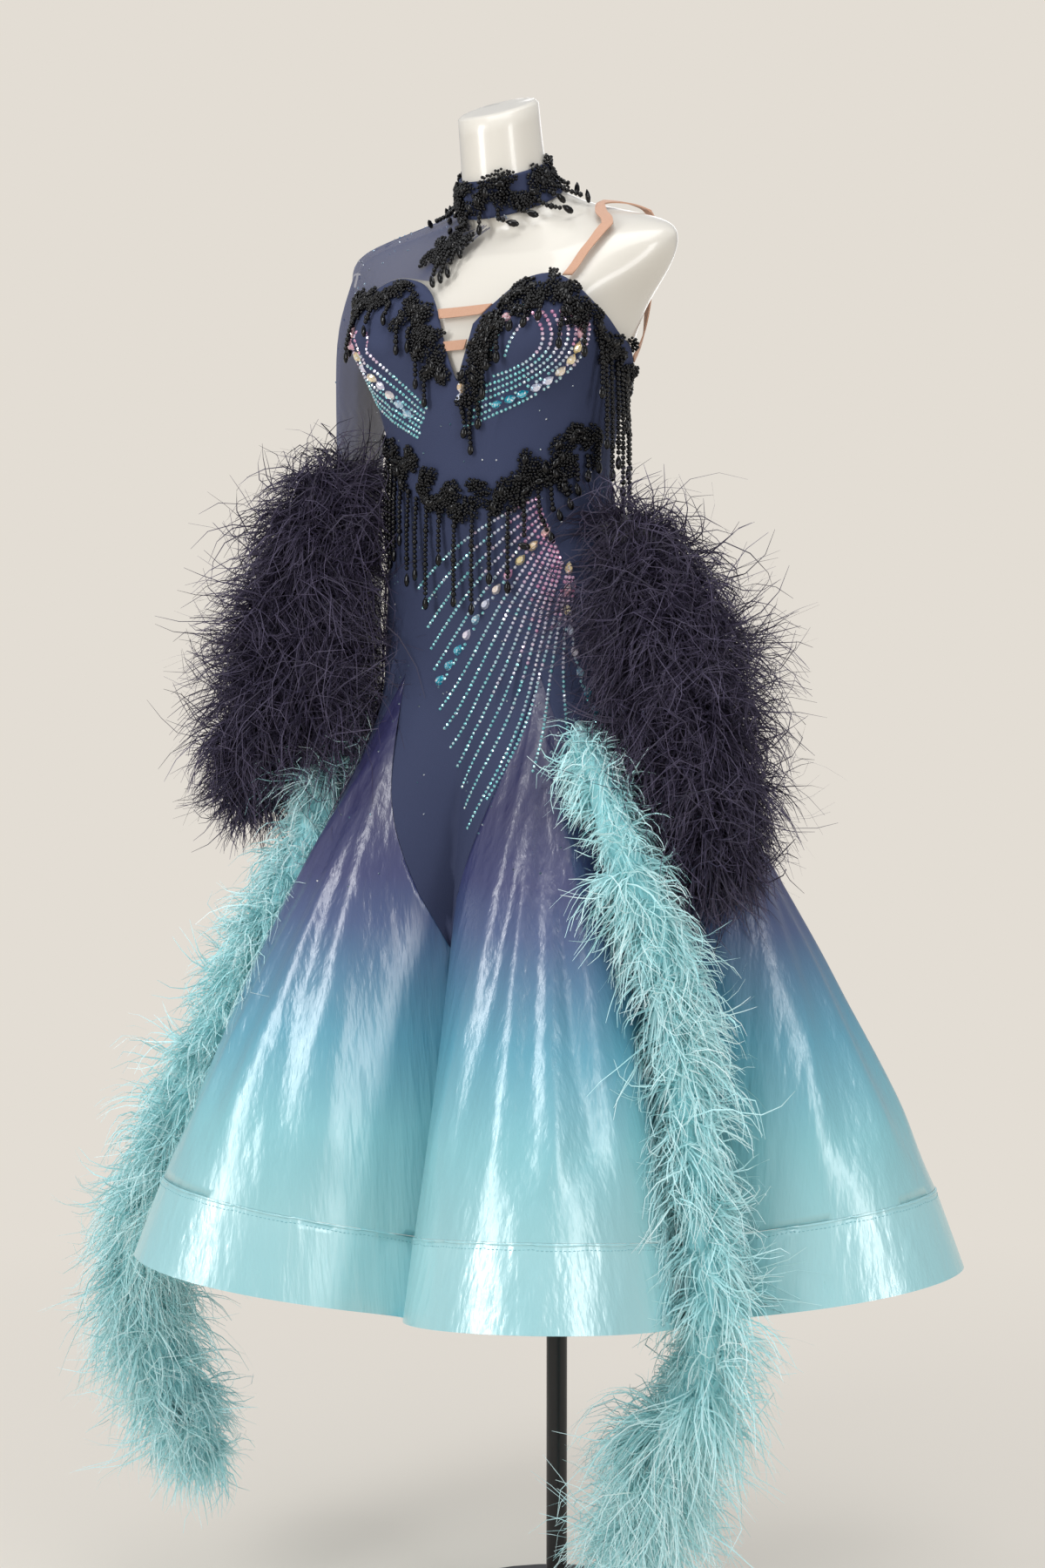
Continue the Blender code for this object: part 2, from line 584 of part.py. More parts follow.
def make_trim(tree, name, line, width, lift, strands, lengths):
    """A beaded trim: a band with strands that grow from its lower edge, each ending in a drop."""
    whole = along_line(line, None)
    pitch = whole / strands
    marks = [0.0]
    for k in range(strands):
        middle = (k + 0.5) * pitch
        marks += [middle - STRAND_WIDTH / 2, middle + STRAND_WIDTH / 2, (k + 1) * pitch]
    angles, heights = ribbon(line, np.array(marks), width)
    bm = bmesh.new()
    skins = []
    for height_off in (lift + BEADS_THICK, lift):
        skins.append([
            [bm.verts.new(settle(tree, a, h, height_off)) for a, h in zip(column, levels)]
            for column, levels in zip(angles, heights)
        ])
    out, into = skins
    last = len(marks) - 1
    for i in (0, last):
        bm.faces.new((out[i][0], out[i][1], into[i][1], into[i][0]))
    for i in range(last):
        bm.faces.new((out[i][0], out[i + 1][0], out[i + 1][1], out[i][1]))
        bm.faces.new((into[i][0], into[i + 1][0], into[i + 1][1], into[i][1]))
        bm.faces.new((out[i][1], out[i + 1][1], into[i + 1][1], into[i][1]))
        foot = (out[i][0], out[i + 1][0], into[i + 1][0], into[i][0])
        if i % 3 != 1:
            bm.faces.new(foot)
        else:
            length = lengths[(i // 3) % len(lengths)]
            add_strand(bm, tree, foot, angles[i : i + 2, 0].mean(), heights[i : i + 2, 0].mean(), length)
    add_object(f"trim_{name}", bm, "beads_black", sharp=50)


def add_strand(bm, tree, foot, angle, height, length):
    """A four-sided strand from its foot on the band down to the point of its drop."""
    straight = length - DROP_LENGTH
    marks = (0.5 * straight, straight, length - 0.5 * DROP_LENGTH, length)
    spots, outward = hanging_points(tree, angle, height, marks)
    along = np.cross([0, 0, 1], outward)
    span = abs(np.dot(foot[1].co - foot[0].co, along))
    ring = foot
    for spot, size in zip(spots, (0.75 * STRAND_WIDTH, 0.7 * STRAND_WIDTH, DROP_WIDTH)):
        across = min(size, span) if size < STRAND_WIDTH else size
        lower = [
            bm.verts.new(spot + (along * a * across + outward * b * size) / 2)
            for a, b in ((-1, 1), (1, 1), (1, -1), (-1, -1))
        ]
        for k in range(4):
            bm.faces.new((ring[k], ring[(k + 1) % 4], lower[(k + 1) % 4], lower[k]))
        ring = lower
    tip = bm.verts.new(spots[-1])
    for k in range(4):
        bm.faces.new((ring[k], ring[(k + 1) % 4], tip))


# ---------------------------------------------------------------- feather floats
def route_points(rows, gaps):
    """Points, radii and reaches at even steps along a smooth curve through a route's rows."""
    rows = np.array(rows, float)
    ends = np.vstack([2 * rows[0] - rows[1], rows, 2 * rows[-1] - rows[-2]])
    share = np.linspace(0, 1, 16, endpoint=False)[:, None]
    pieces = []
    for a, b, c, d in zip(ends, ends[1:], ends[2:], ends[3:]):
        bend = (2 * a - 5 * b + 4 * c - d) * share**2 + (3 * b - a - 3 * c + d) * share**3
        pieces.append(0.5 * (2 * b + (c - a) * share + bend))
    dense = np.vstack(pieces + [rows[-1:]])
    steps = np.linalg.norm(np.diff(dense[:, :3], axis=0), axis=1)
    gone = np.concatenate([[0], np.cumsum(steps)])
    marks = np.linspace(0, gone[-1], gaps + 1)
    return np.stack([np.interp(marks, gone, column) for column in dense.T], axis=1)


def outside_gown(place, margin):
    """True where a place lies clear of the skirt, the body and the sleeve."""
    height = min(max(place[2], HEM_VALLEY - 0.02), 1.60)
    centre = [np.interp(height, SECTION_HEIGHTS, SECTION_COLUMNS[k]) for k in (3, 4)]
    arm = place[:2] - centre
    width, depth = (np.interp(height, SECTION_HEIGHTS, SECTION_COLUMNS[k]) for k in (0, 1))
    angle = math.degrees(math.atan2(arm[0] / width, -arm[1] / depth))
    skin = surface(angle, height)[:2] - centre
    if np.linalg.norm(arm) < np.linalg.norm(skin) + margin and place[2] > HEM_VALLEY - 0.03:
        return False
    near_sleeve = abs(place[0] + 0.232) < 0.030 and abs(place[1] + 0.058) < 0.046
    return not (near_sleeve and place[2] > 1.0)


def make_float(name, tint, route, gaps, others, tree):
    """A feather float: a soft core, sewn on at its first end, with locks that grow out of every other
    face and droop."""
    rows = route_points(route, gaps)
    points, radii, reaches = rows[:, :3], rows[:, 3], rows[:, 4]
    seat = np.array(tree.find_nearest(Vector(points[0]))[0])
    away = points[0] - seat
    away /= np.linalg.norm(away)
    points[0] = seat + away * ROOT_LIFT
    tangents = np.gradient(points, axis=0)
    tangents[0] = away
    tangents /= np.linalg.norm(tangents, axis=1, keepdims=True)
    side = np.cross(tangents[0], [0.3, 0.2, 0.9])
    rings = []
    for point, radius, tangent in zip(points, radii, tangents):
        side = side - tangent * np.dot(side, tangent)
        side /= np.linalg.norm(side)
        other = np.cross(tangent, side)
        turns = np.arange(CORE_SIDES) * 2 * math.pi / CORE_SIDES
        rings.append(point + radius * (np.outer(np.cos(turns), side) + np.outer(np.sin(turns), other)))
    bm = bmesh.new()
    verts = [[bm.verts.new(p) for p in ring] for ring in rings]
    bm.faces.new(verts[0])
    bm.faces.new(verts[-1])
    for i in range(gaps):
        for k in range(CORE_SIDES):
            m = (k + 1) % CORE_SIDES
            base = (verts[i][k], verts[i][m], verts[i + 1][m], verts[i + 1][k])
            lock = lock_points(base, points[i : i + 2].mean(axis=0), reaches[i : i + 2].mean(), others)
            if (i + k) % 2 or i == 0 or lock is None:
                bm.faces.new(base)
                continue
            ring = [bm.verts.new(p) for p in lock[0]]
            tip = bm.verts.new(lock[1])
            for n in range(4):
                bm.faces.new((base[n], base[(n + 1) % 4], ring[(n + 1) % 4], ring[n]))
                bm.faces.new((ring[n], ring[(n + 1) % 4], tip))
    return add_object(name, bm, tint, sharp=50)


def lock_points(base, axis, reach, others):
    """The middle ring and the tip of a lock on a face of a core, shortened to stay clear, or None."""
    corners = np.array([vert.co for vert in base])
    root = corners.mean(axis=0)
    outward = root - axis
    outward /= np.linalg.norm(outward)
    for size in (1.0, 0.8, 0.6, 0.4):
        length = reach * size
        if length < 0.012:
            return None
        middle = root + outward * length * 0.55 + np.array([0, 0, -0.16 * LOCK_DROOP * length])
        tip = root + outward * length + np.array([0, 0, -LOCK_DROOP * length])
        ring = middle + (corners - root) * 0.42
        checks = list(ring) + [tip, (middle + tip) / 2]
        clear = all(outside_gown(place, 0.007) for place in checks) and tip[2] > FLOOR_CLEAR
        for place in checks:
            for row in others:
                clear = clear and np.linalg.norm(place - row[:3]) > row[3] + row[4] * 0.45
        if clear:
            return ring, tip
    return None


def make_floats(tree):
    for name, float_spec in FLOATS.items():
        side = name.rsplit("_", 1)[0]
        others = [
            row
            for other, spec in FLOATS.items()
            if other != name and other.startswith(side)
            for row in route_points(spec["route"], 3 * spec["gaps"])
        ]
        make_float(name, others=others, tree=tree, **float_spec)


# ---------------------------------------------------------------- form and stand
def make_form():
    """The smooth torso: bust, waist, hips, shoulder caps and neck stump, closed at both ends."""
    angles = np.arange(0, 360, 2 * COLUMN_STEP, dtype=float)
    rings = []
    for height, inset in FORM_FOOT:
        ring = surface(angles, APEX_HEIGHT, -inset)
        ring[:, 2] = height
        rings.append(ring)
    for height in FORM_LEVELS:
        rings.append(surface(angles, height, -np.interp(height, (1.590, 1.602), (FORM_INSET, NECK_INSET))))
    crown = surface(angles, FORM_LEVELS[-1], -CROWN_IN) + np.array([0, 0, CROWN_UP])
    rings.append(crown)
    bm = bmesh.new()
    verts = [[bm.verts.new(p) for p in ring] for ring in rings]
    for low, high in zip(verts, verts[1:]):
        for k in range(len(angles)):
            m = (k + 1) % len(angles)
            bm.faces.new((low[k], low[m], high[m], high[k]))
    bm.faces.new(verts[0])
    bm.faces.new(verts[-1])
    add_object("form_torso", bm, "form_gloss", sharp=50)


def make_turned(name, slot, profile, sides=24):
    """A solid turned about the Z axis from (radius, height) rows, top to bottom down its outside."""
    bm = bmesh.new()
    edge_verts = [bm.verts.new((radius, 0, height)) for radius, height in profile]
    edges = [bm.edges.new(pair) for pair in zip(edge_verts, edge_verts[1:])]
    bmesh.ops.spin(
        bm, geom=edge_verts + edges, cent=(0, 0, 0), axis=(0, 0, 1), angle=2 * math.pi, steps=sides,
        use_merge=True,
    )
    bmesh.ops.remove_doubles(bm, verts=bm.verts, dist=0.00001)
    add_object(name, bm, slot)


def make_stand():
    top = FORM_BOTTOM - SEAM
    foot = BASE_THICK + SEAM
    make_turned("stand_pole", "stand_black", (
        (0, top), (POLE_RADIUS, top), (POLE_RADIUS, foot), (0, foot),
    ))
    bore = POLE_RADIUS + SEAM
    make_turned("stand_base", "stand_black", (
        (0, BASE_THICK), (bore, BASE_THICK), (bore, BOSS_HEIGHT), (BOSS_RADIUS - 0.002, BOSS_HEIGHT),
        (BOSS_RADIUS, BOSS_HEIGHT - 0.002), (BOSS_RADIUS, BASE_THICK), (BASE_RADIUS - 0.003, BASE_THICK),
        (BASE_RADIUS, BASE_THICK - 0.003), (BASE_RADIUS, 0), (0, 0),
    ), sides=36)


def main():
    clear_scene()
    make_stand()
    make_form()
    make_body()
    make_skirt()
    make_yoke()
    make_collar()
    make_sleeve()
    make_straps()
    gown = skin_tree([
        "body_front", "body_back", "yoke_front", "yoke_back", "collar", "form_torso",
        "strap_keyhole_upper", "strap_keyhole_lower",
    ])
    for name, trim in TRIMS.items():
        make_trim(gown, name, **trim)
    make_floats(skin_tree(["body_front", "body_back", "sleeve"]))


main()
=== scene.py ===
"""A ballroom gown on a limbless dress form and its stand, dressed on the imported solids. Metres, +Z up."""

import math

import bmesh
import bpy
import numpy as np
from mathutils import Matrix, Vector
from mathutils.bvhtree import BVHTree


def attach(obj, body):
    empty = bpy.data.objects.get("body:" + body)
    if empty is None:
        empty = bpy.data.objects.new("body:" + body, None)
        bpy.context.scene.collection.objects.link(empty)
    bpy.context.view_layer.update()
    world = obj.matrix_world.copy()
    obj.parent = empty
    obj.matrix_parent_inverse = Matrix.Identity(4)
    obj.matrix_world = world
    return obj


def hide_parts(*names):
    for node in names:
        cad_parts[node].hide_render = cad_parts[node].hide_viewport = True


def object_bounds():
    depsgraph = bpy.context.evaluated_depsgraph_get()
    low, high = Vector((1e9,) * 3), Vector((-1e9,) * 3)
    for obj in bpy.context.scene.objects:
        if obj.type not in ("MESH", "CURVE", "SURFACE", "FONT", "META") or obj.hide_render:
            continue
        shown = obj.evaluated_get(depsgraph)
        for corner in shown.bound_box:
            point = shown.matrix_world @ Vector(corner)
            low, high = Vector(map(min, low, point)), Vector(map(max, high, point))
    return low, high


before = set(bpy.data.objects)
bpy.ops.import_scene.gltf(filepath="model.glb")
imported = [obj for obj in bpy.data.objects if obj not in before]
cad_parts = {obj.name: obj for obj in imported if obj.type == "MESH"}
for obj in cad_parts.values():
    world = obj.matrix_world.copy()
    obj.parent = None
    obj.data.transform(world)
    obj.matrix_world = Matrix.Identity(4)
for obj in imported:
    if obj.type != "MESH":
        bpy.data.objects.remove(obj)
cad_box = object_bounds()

# ------------------------------------------------------------------ camera
# A portrait lens at chest height, turned a third of the way from the front towards the gown's left
# side, far enough back to frame it from the neck stump to the plumes' ends.
EYE_DISTANCE = 2.70
EYE_TURN = math.radians(33)
EYE_HEIGHT = 1.12
FOCAL_PIXELS = 2781
FRAME_PIXELS = (1200, 1800)
AXIS_PIXEL = 640
HORIZON_PIXEL = 740


def linked(name, data):
    """A new object with the data, linked to the scene."""
    made = bpy.data.objects.new(name, data)
    bpy.context.scene.collection.objects.link(made)
    return made


lens = bpy.data.cameras.new("portrait_lens")
lens.sensor_fit = "VERTICAL"
lens.sensor_height = 36
lens.lens = FOCAL_PIXELS * lens.sensor_height / FRAME_PIXELS[1]
camera = linked("portrait_camera", lens)
camera.location = (EYE_DISTANCE * math.sin(EYE_TURN), -EYE_DISTANCE * math.cos(EYE_TURN), EYE_HEIGHT)
yaw = math.atan((AXIS_PIXEL - FRAME_PIXELS[0] / 2) / FOCAL_PIXELS)
pitch = math.atan((FRAME_PIXELS[1] / 2 - HORIZON_PIXEL) / FOCAL_PIXELS)
camera.rotation_euler = (math.pi / 2 - pitch, 0, EYE_TURN + yaw)
bpy.context.scene.camera = camera


# ------------------------------------------------------------------ floor and studio
# A plain pale floor that fades out into a pale backdrop of its own tone, under large soft boxes: a
# tall one on each side for the satin's long highlights, one overhead and a weak one behind.
class Socket:
    """A value inside a material, with arithmetic that adds Math nodes."""

    def __init__(self, finish, socket):
        self.finish, self.socket = finish, socket

    def math(self, operation, *values):
        return self.finish.node("ShaderNodeMath", {"operation": operation}, dict(enumerate(values)))

    def __add__(self, other):
        return self.math("ADD", self, other)

    def __sub__(self, other):
        return self.math("SUBTRACT", self, other)

    def __rsub__(self, other):
        return self.math("SUBTRACT", other, self)

    def __mul__(self, other):
        return self.math("MULTIPLY", self, other)

    def __truediv__(self, other):
        return self.math("DIVIDE", self, other)

    def __pow__(self, other):
        return self.math("POWER", self, other)

    __radd__, __rmul__ = __add__, __mul__

    def sine(self):
        return self.math("SINE", self)

    def clamped(self):
        return self.math("MINIMUM", self.math("MAXIMUM", self, 0.0), 1.0)


class Finish:
    """A material with a Principled shader, whose other nodes all come from one method."""

    def __init__(self, name, **constants):
        self.material = bpy.data.materials.new(name)
        self.material.use_nodes = True
        self.tree = self.material.node_tree
        self.shader = self.tree.nodes["Principled BSDF"]
        self.set(**constants)

    def put(self, socket, value):
        if isinstance(value, Socket):
            self.tree.links.new(value.socket, socket)
        elif isinstance(value, tuple) and len(value) == 3 and len(socket.default_value) == 4:
            socket.default_value = (*value, 1.0)
        else:
            socket.default_value = value

    def set(self, **values):
        """Sets or links the shader's sockets: base_color stands for Base Color."""
        for name, value in values.items():
            words = name.replace("_", " ").title().replace("Ior", "IOR")
            self.put(self.shader.inputs[words], value)

    def node(self, kind, settings=None, sockets=None, output=0):
        made = self.tree.nodes.new(kind)
        for name, value in (settings or {}).items():
            if name == "stops":
                ramp = made.color_ramp
                while len(ramp.elements) < len(value):
                    ramp.elements.new(1.0)
                for element, (place, colour) in zip(ramp.elements, value):
                    element.position, element.color = place, (*colour, 1.0)
            else:
                setattr(made, name, value)
        for name, value in (sockets or {}).items():
            self.put(made.inputs[name], value)
        return Socket(self, made.outputs[output])

    def place(self, scale=(1, 1, 1)):
        """Object coordinates, stretched."""
        where = self.node("ShaderNodeTexCoord", output="Object")
        return self.node("ShaderNodeMapping", sockets={"Vector": where, "Scale": scale})

    def noise(self, scale, stretch=(1, 1, 1), detail=2.0):
        return self.node("ShaderNodeTexNoise", sockets={
            "Vector": self.place(stretch), "Scale": scale, "Detail": detail,
        })

    def mix(self, factor, first, second):
        return self.node("ShaderNodeMix", {"data_type": "RGBA"}, {0: factor, 6: first, 7: second}, 2)

    def bump(self, height, distance, strength=1.0):
        self.set(normal=self.node("ShaderNodeBump", sockets={
            "Height": height, "Distance": distance, "Strength": strength,
        }))


def dyed(red, green, blue):
    """A colour given in screen values from 0 to 255."""
    shares = (c / 255 for c in (red, green, blue))
    return tuple(c / 12.92 if c <= 10 / 255 else ((c + 0.055) / 1.055) ** 2.4 for c in shares)


def mesh_of(bm, name):
    """The bmesh as a mesh."""
    mesh = bpy.data.meshes.new(name)
    bm.to_mesh(mesh)
    bm.free()
    return mesh


def add_piece(name, mesh, finish, replaces=(), smooth=45):
    """Links a finished mesh as a piece that rides on the gown's one body."""
    piece = linked(name, mesh)
    mesh.shade_smooth()
    mesh.set_sharp_from_angle(angle=math.radians(smooth))
    mesh.materials.clear()
    mesh.materials.append(finish.material)
    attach(piece, "root")
    if replaces:
        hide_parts(*replaces)
    return piece


FLOOR_RADIUS = 60.0
FLOOR_DROP = 0.0005
FLOOR_FADE = (-0.35, 2.0)
BACKDROP = dyed(227, 221, 212)

floor_finish = Finish("studio_floor", roughness=1.0, specular_ior_level=0.0, emission_strength=1.0)
span = floor_finish.node("ShaderNodeVectorMath", {"operation": "LENGTH"}, {0: floor_finish.place()}, 1)
away = ((span - FLOOR_FADE[0]) / (FLOOR_FADE[1] - FLOOR_FADE[0])).clamped() ** 0.7
floor_paint = floor_finish.mix(floor_finish.noise(1.2), dyed(236, 230, 220), dyed(241, 235, 225))
floor_finish.set(
    base_color=floor_finish.mix(away, floor_paint, (0.0, 0.0, 0.0)),
    emission_color=floor_finish.mix(away, (0.0, 0.0, 0.0), BACKDROP),
)
bm = bmesh.new()
bmesh.ops.create_circle(bm, cap_ends=True, segments=96, radius=FLOOR_RADIUS)
bmesh.ops.translate(bm, verts=bm.verts, vec=(0, 0, -FLOOR_DROP))
floor = linked("studio_floor", mesh_of(bm, "studio_floor"))
floor.data.materials.append(floor_finish.material)

world = bpy.data.worlds.new("studio_air")
world.use_nodes = True
air = world.node_tree
seen = air.nodes["Background"]
seen.inputs["Color"].default_value = (*BACKDROP, 1.0)
fill = air.nodes.new("ShaderNodeBackground")
fill.inputs["Color"].default_value = (*dyed(236, 238, 242), 1.0)
fill.inputs["Strength"].default_value = 0.50
ray = air.nodes.new("ShaderNodeLightPath")
either = air.nodes.new("ShaderNodeMixShader")
air.links.new(ray.outputs["Is Camera Ray"], either.inputs[0])
air.links.new(fill.outputs[0], either.inputs[1])
air.links.new(seen.outputs[0], either.inputs[2])
air.links.new(either.outputs[0], air.nodes["World Output"].inputs["Surface"])
bpy.context.scene.world = world
bpy.context.scene.view_settings.view_transform = "Standard"

# name: place, point it faces, width, height, watts
SOFT_BOXES = {
    "key_box": ((-0.9, -2.9, 2.2), (0, 0, 1.0), 0.9, 1.9, 46),
    "side_box": ((2.9, -1.3, 1.7), (0, 0, 0.9), 0.6, 2.0, 26),
    "top_box": ((0.3, -0.6, 3.2), (0, 0, 0.9), 1.6, 1.6, 24),
    "back_box": ((-1.0, 2.4, 2.0), (0, 0, 1.0), 1.2, 1.6, 9),
}
for name, (place, target, width, height, watts) in SOFT_BOXES.items():
    lamp = bpy.data.lights.new(name, "AREA")
    lamp.shape, lamp.size, lamp.size_y, lamp.energy = "RECTANGLE", width, height, watts
    box = linked(name, lamp)
    box.location = place
    box.rotation_euler = (Vector(target) - Vector(place)).to_track_quat("-Z", "Y").to_euler()


# ------------------------------------------------------------------ stand
# A round steel foot and a straight steel pole, both powder coated in satin black. The pole pushes into
# a short welded boss and runs up into the form's underside.
WELD = 0.00002


def welded(node):
    """The node's triangles as one bmesh with shared corners."""
    bm = bmesh.new()
    bm.from_mesh(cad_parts[node].data)
    bmesh.ops.remove_doubles(bm, verts=bm.verts, dist=WELD)
    bm.verts.ensure_lookup_table()
    return bm


def evaluated(data, levels=0):
    """A curve as a mesh, or a mesh smoothed."""
    carrier = linked("carrier", data)
    if levels:
        smoother = carrier.modifiers.new("smooth", "SUBSURF")
        smoother.levels = smoother.render_levels = levels
    bpy.context.view_layer.update()
    made = bpy.data.meshes.new_from_object(carrier.evaluated_get(bpy.context.evaluated_depsgraph_get()))
    bpy.data.objects.remove(carrier)
    return made


def fine_mesh(node, levels, crease_from=32):
    """The node's mesh, its triangles paired into quads and smoothed, with its sharp edges kept."""
    bm = welded(node)
    bmesh.ops.join_triangles(
        bm, faces=bm.faces, cmp_seam=False, cmp_sharp=False, cmp_uvs=False, cmp_vcols=False,
        cmp_materials=False, angle_face_threshold=math.radians(40), angle_shape_threshold=math.radians(70),
    )
    crease = bm.edges.layers.float.new("crease_edge")
    for edge in bm.edges:
        if edge.calc_face_angle(0.0) > math.radians(crease_from):
            edge[crease] = 1.0
    mesh = mesh_of(bm, f"{node}_fine")
    return evaluated(mesh, levels) if levels else mesh


powder_coat = Finish("stand_powder_coat", specular_ior_level=0.45)
speckle = powder_coat.noise(900, detail=1.0)
powder_coat.set(
    base_color=powder_coat.mix(speckle, dyed(20, 20, 21), dyed(30, 30, 32)),
    roughness=0.30 + 0.12 * powder_coat.noise(35),
)
powder_coat.bump(speckle, 0.00006)
for node in ("stand_pole", "stand_base"):
    add_piece(f"{node}_coated", fine_mesh(node, 0), powder_coat, (node,), smooth=40)


# ------------------------------------------------------------------ dress form
# A glass-fibre torso in glossy warm white, with a bust, a waist, hips, capped shoulders and a neck
# stump, polished and lightly clear coated. It is whole under the gown.
gloss_white = Finish("form_gloss_white", coat_weight=0.45, coat_roughness=0.09, specular_ior_level=0.5)
gloss_white.set(
    base_color=gloss_white.mix(gloss_white.noise(6), dyed(209, 204, 194), dyed(215, 211, 202)),
    roughness=0.26 + 0.08 * gloss_white.noise(25),
)
gloss_white.bump(gloss_white.noise(14), 0.0006)
torso = fine_mesh("form_torso", 2, crease_from=45)
add_piece("form_polished", torso, gloss_white, ("form_torso",), smooth=50)


# ------------------------------------------------------------------ bodice and hips
# Front and back of matt stretch crepe in navy, cut in one from the cups to long points between the
# godets, and sewn to each other at the sides. The back closes edge to edge below a deep scoop.
def points_of(mesh, what="co"):
    """The mesh's points, or their normals, as an array."""
    rows = np.empty(len(mesh.vertices) * 3)
    mesh.vertices.foreach_get(what, rows)
    return rows.reshape(-1, 3)


def shift(mesh, amounts):
    """Moves each point out along its normal."""
    points = points_of(mesh) + points_of(mesh, "normal") * amounts[:, None]
    mesh.vertices.foreach_set("co", points.ravel())
    mesh.update()


def turned(points, centre=(0.0, 0.0)):
    """Each point's turn round the gown in degrees: 0 in front, 90 on the wearer's left."""
    return np.degrees(np.arctan2(points[:, 0] - centre[0], centre[1] - points[:, 1]))


def face_way(mesh, points, centre):
    """1 for a point on the outer skin and -1 on the inner one."""
    away = points[:, :2] - np.array(centre)
    return np.where((points_of(mesh, "normal")[:, :2] * away).sum(axis=1) > 0, 1.0, -1.0)


crepe = Finish("navy_crepe", sheen_weight=0.12, sheen_roughness=0.45, sheen_tint=(*dyed(120, 130, 170), 1.0),
               specular_ior_level=0.25)
grain = crepe.noise(1400, (1, 1, 0.55), 2.0)
crepe.set(
    base_color=crepe.mix(crepe.noise(5), dyed(47, 54, 80), dyed(55, 63, 92)),
    roughness=0.70 + 0.15 * grain,
)
crepe.bump(grain + 0.6 * crepe.noise(60, (1, 1, 0.4)), 0.00022)

# Soft drag lines of the fitted crepe: turn at its middle, height, half turn, half height, lift
DRAG_LINES = (
    (8, 1.245, 22, 0.005, 0.0012), (-12, 1.228, 20, 0.006, 0.0010), (40, 1.236, 16, 0.006, 0.0011),
    (20, 1.205, 26, 0.007, 0.0008), (-30, 1.210, 18, 0.006, 0.0009), (150, 1.240, 24, 0.006, 0.0013),
    (185, 1.222, 26, 0.007, 0.0012), (215, 1.236, 20, 0.006, 0.0011), (170, 1.200, 30, 0.008, 0.0009),
)
DRAG_SAG = 0.010
BODY_CENTRE = (-0.02, -0.07)
for node, width, length, area in (("body_front", 0.46, 0.73, 0.26), ("body_back", 0.44, 0.72, 0.23)):
    mesh = fine_mesh(node, 2)
    points = points_of(mesh)
    turn = np.mod(turned(points, BODY_CENTRE) + 90, 360) - 90
    lift = np.zeros(len(points))
    for middle, level, wide, high, rise in DRAG_LINES:
        sag = level - DRAG_SAG * ((turn - middle) / wide) ** 2
        lift += rise * np.exp(-((turn - middle) / wide) ** 2 - ((points[:, 2] - sag) / high) ** 2)
    shift(mesh, lift * face_way(mesh, points, BODY_CENTRE))
    piece = add_piece(f"{node}_crepe", mesh, crepe, (node,))


# ------------------------------------------------------------------ skirt godets
# Six full godets of heavy satin, dyed in a fade from dusk navy at their tips to clear aqua at the hem.
# Each stands out in a flute, with soft ridges that fan from its tip and die out above the hem.
def satin_weave(finish):
    """Satin's long floats: broad soft streaks down the cloth, broken up by fine ones and by threads."""
    streaks = finish.noise(24, (1, 1, 0.12), 3.0)
    fine = finish.noise(90, (1, 1, 0.05), 3.0)
    brushed = finish.noise(400, (1, 1, 0.03), 2.0)
    finish.set(roughness=0.23 + 0.18 * fine)
    finish.bump(streaks + 0.27 * fine + 0.045 * brushed, 0.0052)


satin = Finish("ombre_satin", ior=1.7, specular_ior_level=0.62, coat_roughness=0.26)
height_now = satin.node("ShaderNodeSeparateXYZ", sockets={0: satin.place()}, output=2)
uneven = height_now + 0.05 * (satin.noise(5, (1, 1, 0.6)) - 0.5)
FADE_TOP, FADE_FOOT = 1.02, 0.50
fade = satin.node("ShaderNodeValToRGB", {"stops": (
    (0.00, dyed(160, 210, 212)), (0.24, dyed(132, 197, 205)), (0.42, dyed(88, 160, 182)),
    (0.54, dyed(72, 122, 153)), (0.63, dyed(58, 82, 124)), (0.72, dyed(42, 50, 98)),
    (0.86, dyed(33, 35, 78)), (1.00, dyed(36, 37, 77)),
)}, {0: (uneven - FADE_FOOT) / (FADE_TOP - FADE_FOOT)})
satin.set(
    base_color=satin.mix(0.12 * satin.noise(9, (1, 1, 0.2)), fade, dyed(118, 112, 150)),
    coat_weight=(0.95 - (uneven - FADE_FOOT) / (FADE_TOP - FADE_FOOT)).clamped(),
)
satin_weave(satin)

# Ridges of one godet: share across it at its tip, share at the hem, highest and lowest height, half
# width in degrees, lift.
RIDGES = (
    (0.50, 0.14, 1.03, 0.53, 2.9, 0.0042), (0.49, 0.27, 1.00, 0.61, 2.2, -0.0034),
    (0.50, 0.38, 1.04, 0.56, 2.6, 0.0050), (0.52, 0.49, 0.97, 0.65, 2.8, -0.0038),
    (0.50, 0.58, 1.03, 0.51, 2.3, 0.0044), (0.50, 0.68, 0.98, 0.59, 3.0, -0.0040),
    (0.51, 0.79, 1.02, 0.54, 2.6, 0.0048), (0.50, 0.89, 0.96, 0.63, 2.8, 0.0034),
)
RIDGE_WANDER = 0.012
RIDGE_SOFT_TOP, RIDGE_SOFT_FOOT = 0.016, 0.022
GODET_TURN = 60
GODET_TOP, GODET_FOOT = 1.05, 0.47
EDGE_FLAT = 0.10
SECTORS = 72
RIM_DEPTH = 0.020
SEAM_FLAT = 0.014
SEAM_RISE = 0.075
RIDGE_SHIFTS = (0.00, -0.03, 0.04, -0.02, 0.03, -0.04)
SKIRT_CENTRE = (0.0, -0.01)


def seam_line():
    """Where the hem band's upper edge runs, as turns and heights in step."""
    points = points_of(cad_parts["hem_band"].data)
    turn = np.mod(turned(points, SKIRT_CENTRE), 360)
    sector = (turn / 360 * SECTORS).astype(int)
    highest = {k: points[sector == k, 2].max() for k in np.unique(sector)}
    top = points[:, 2] > np.array([highest[k] for k in sector]) - RIM_DEPTH
    return turn[top], points[top, 2]


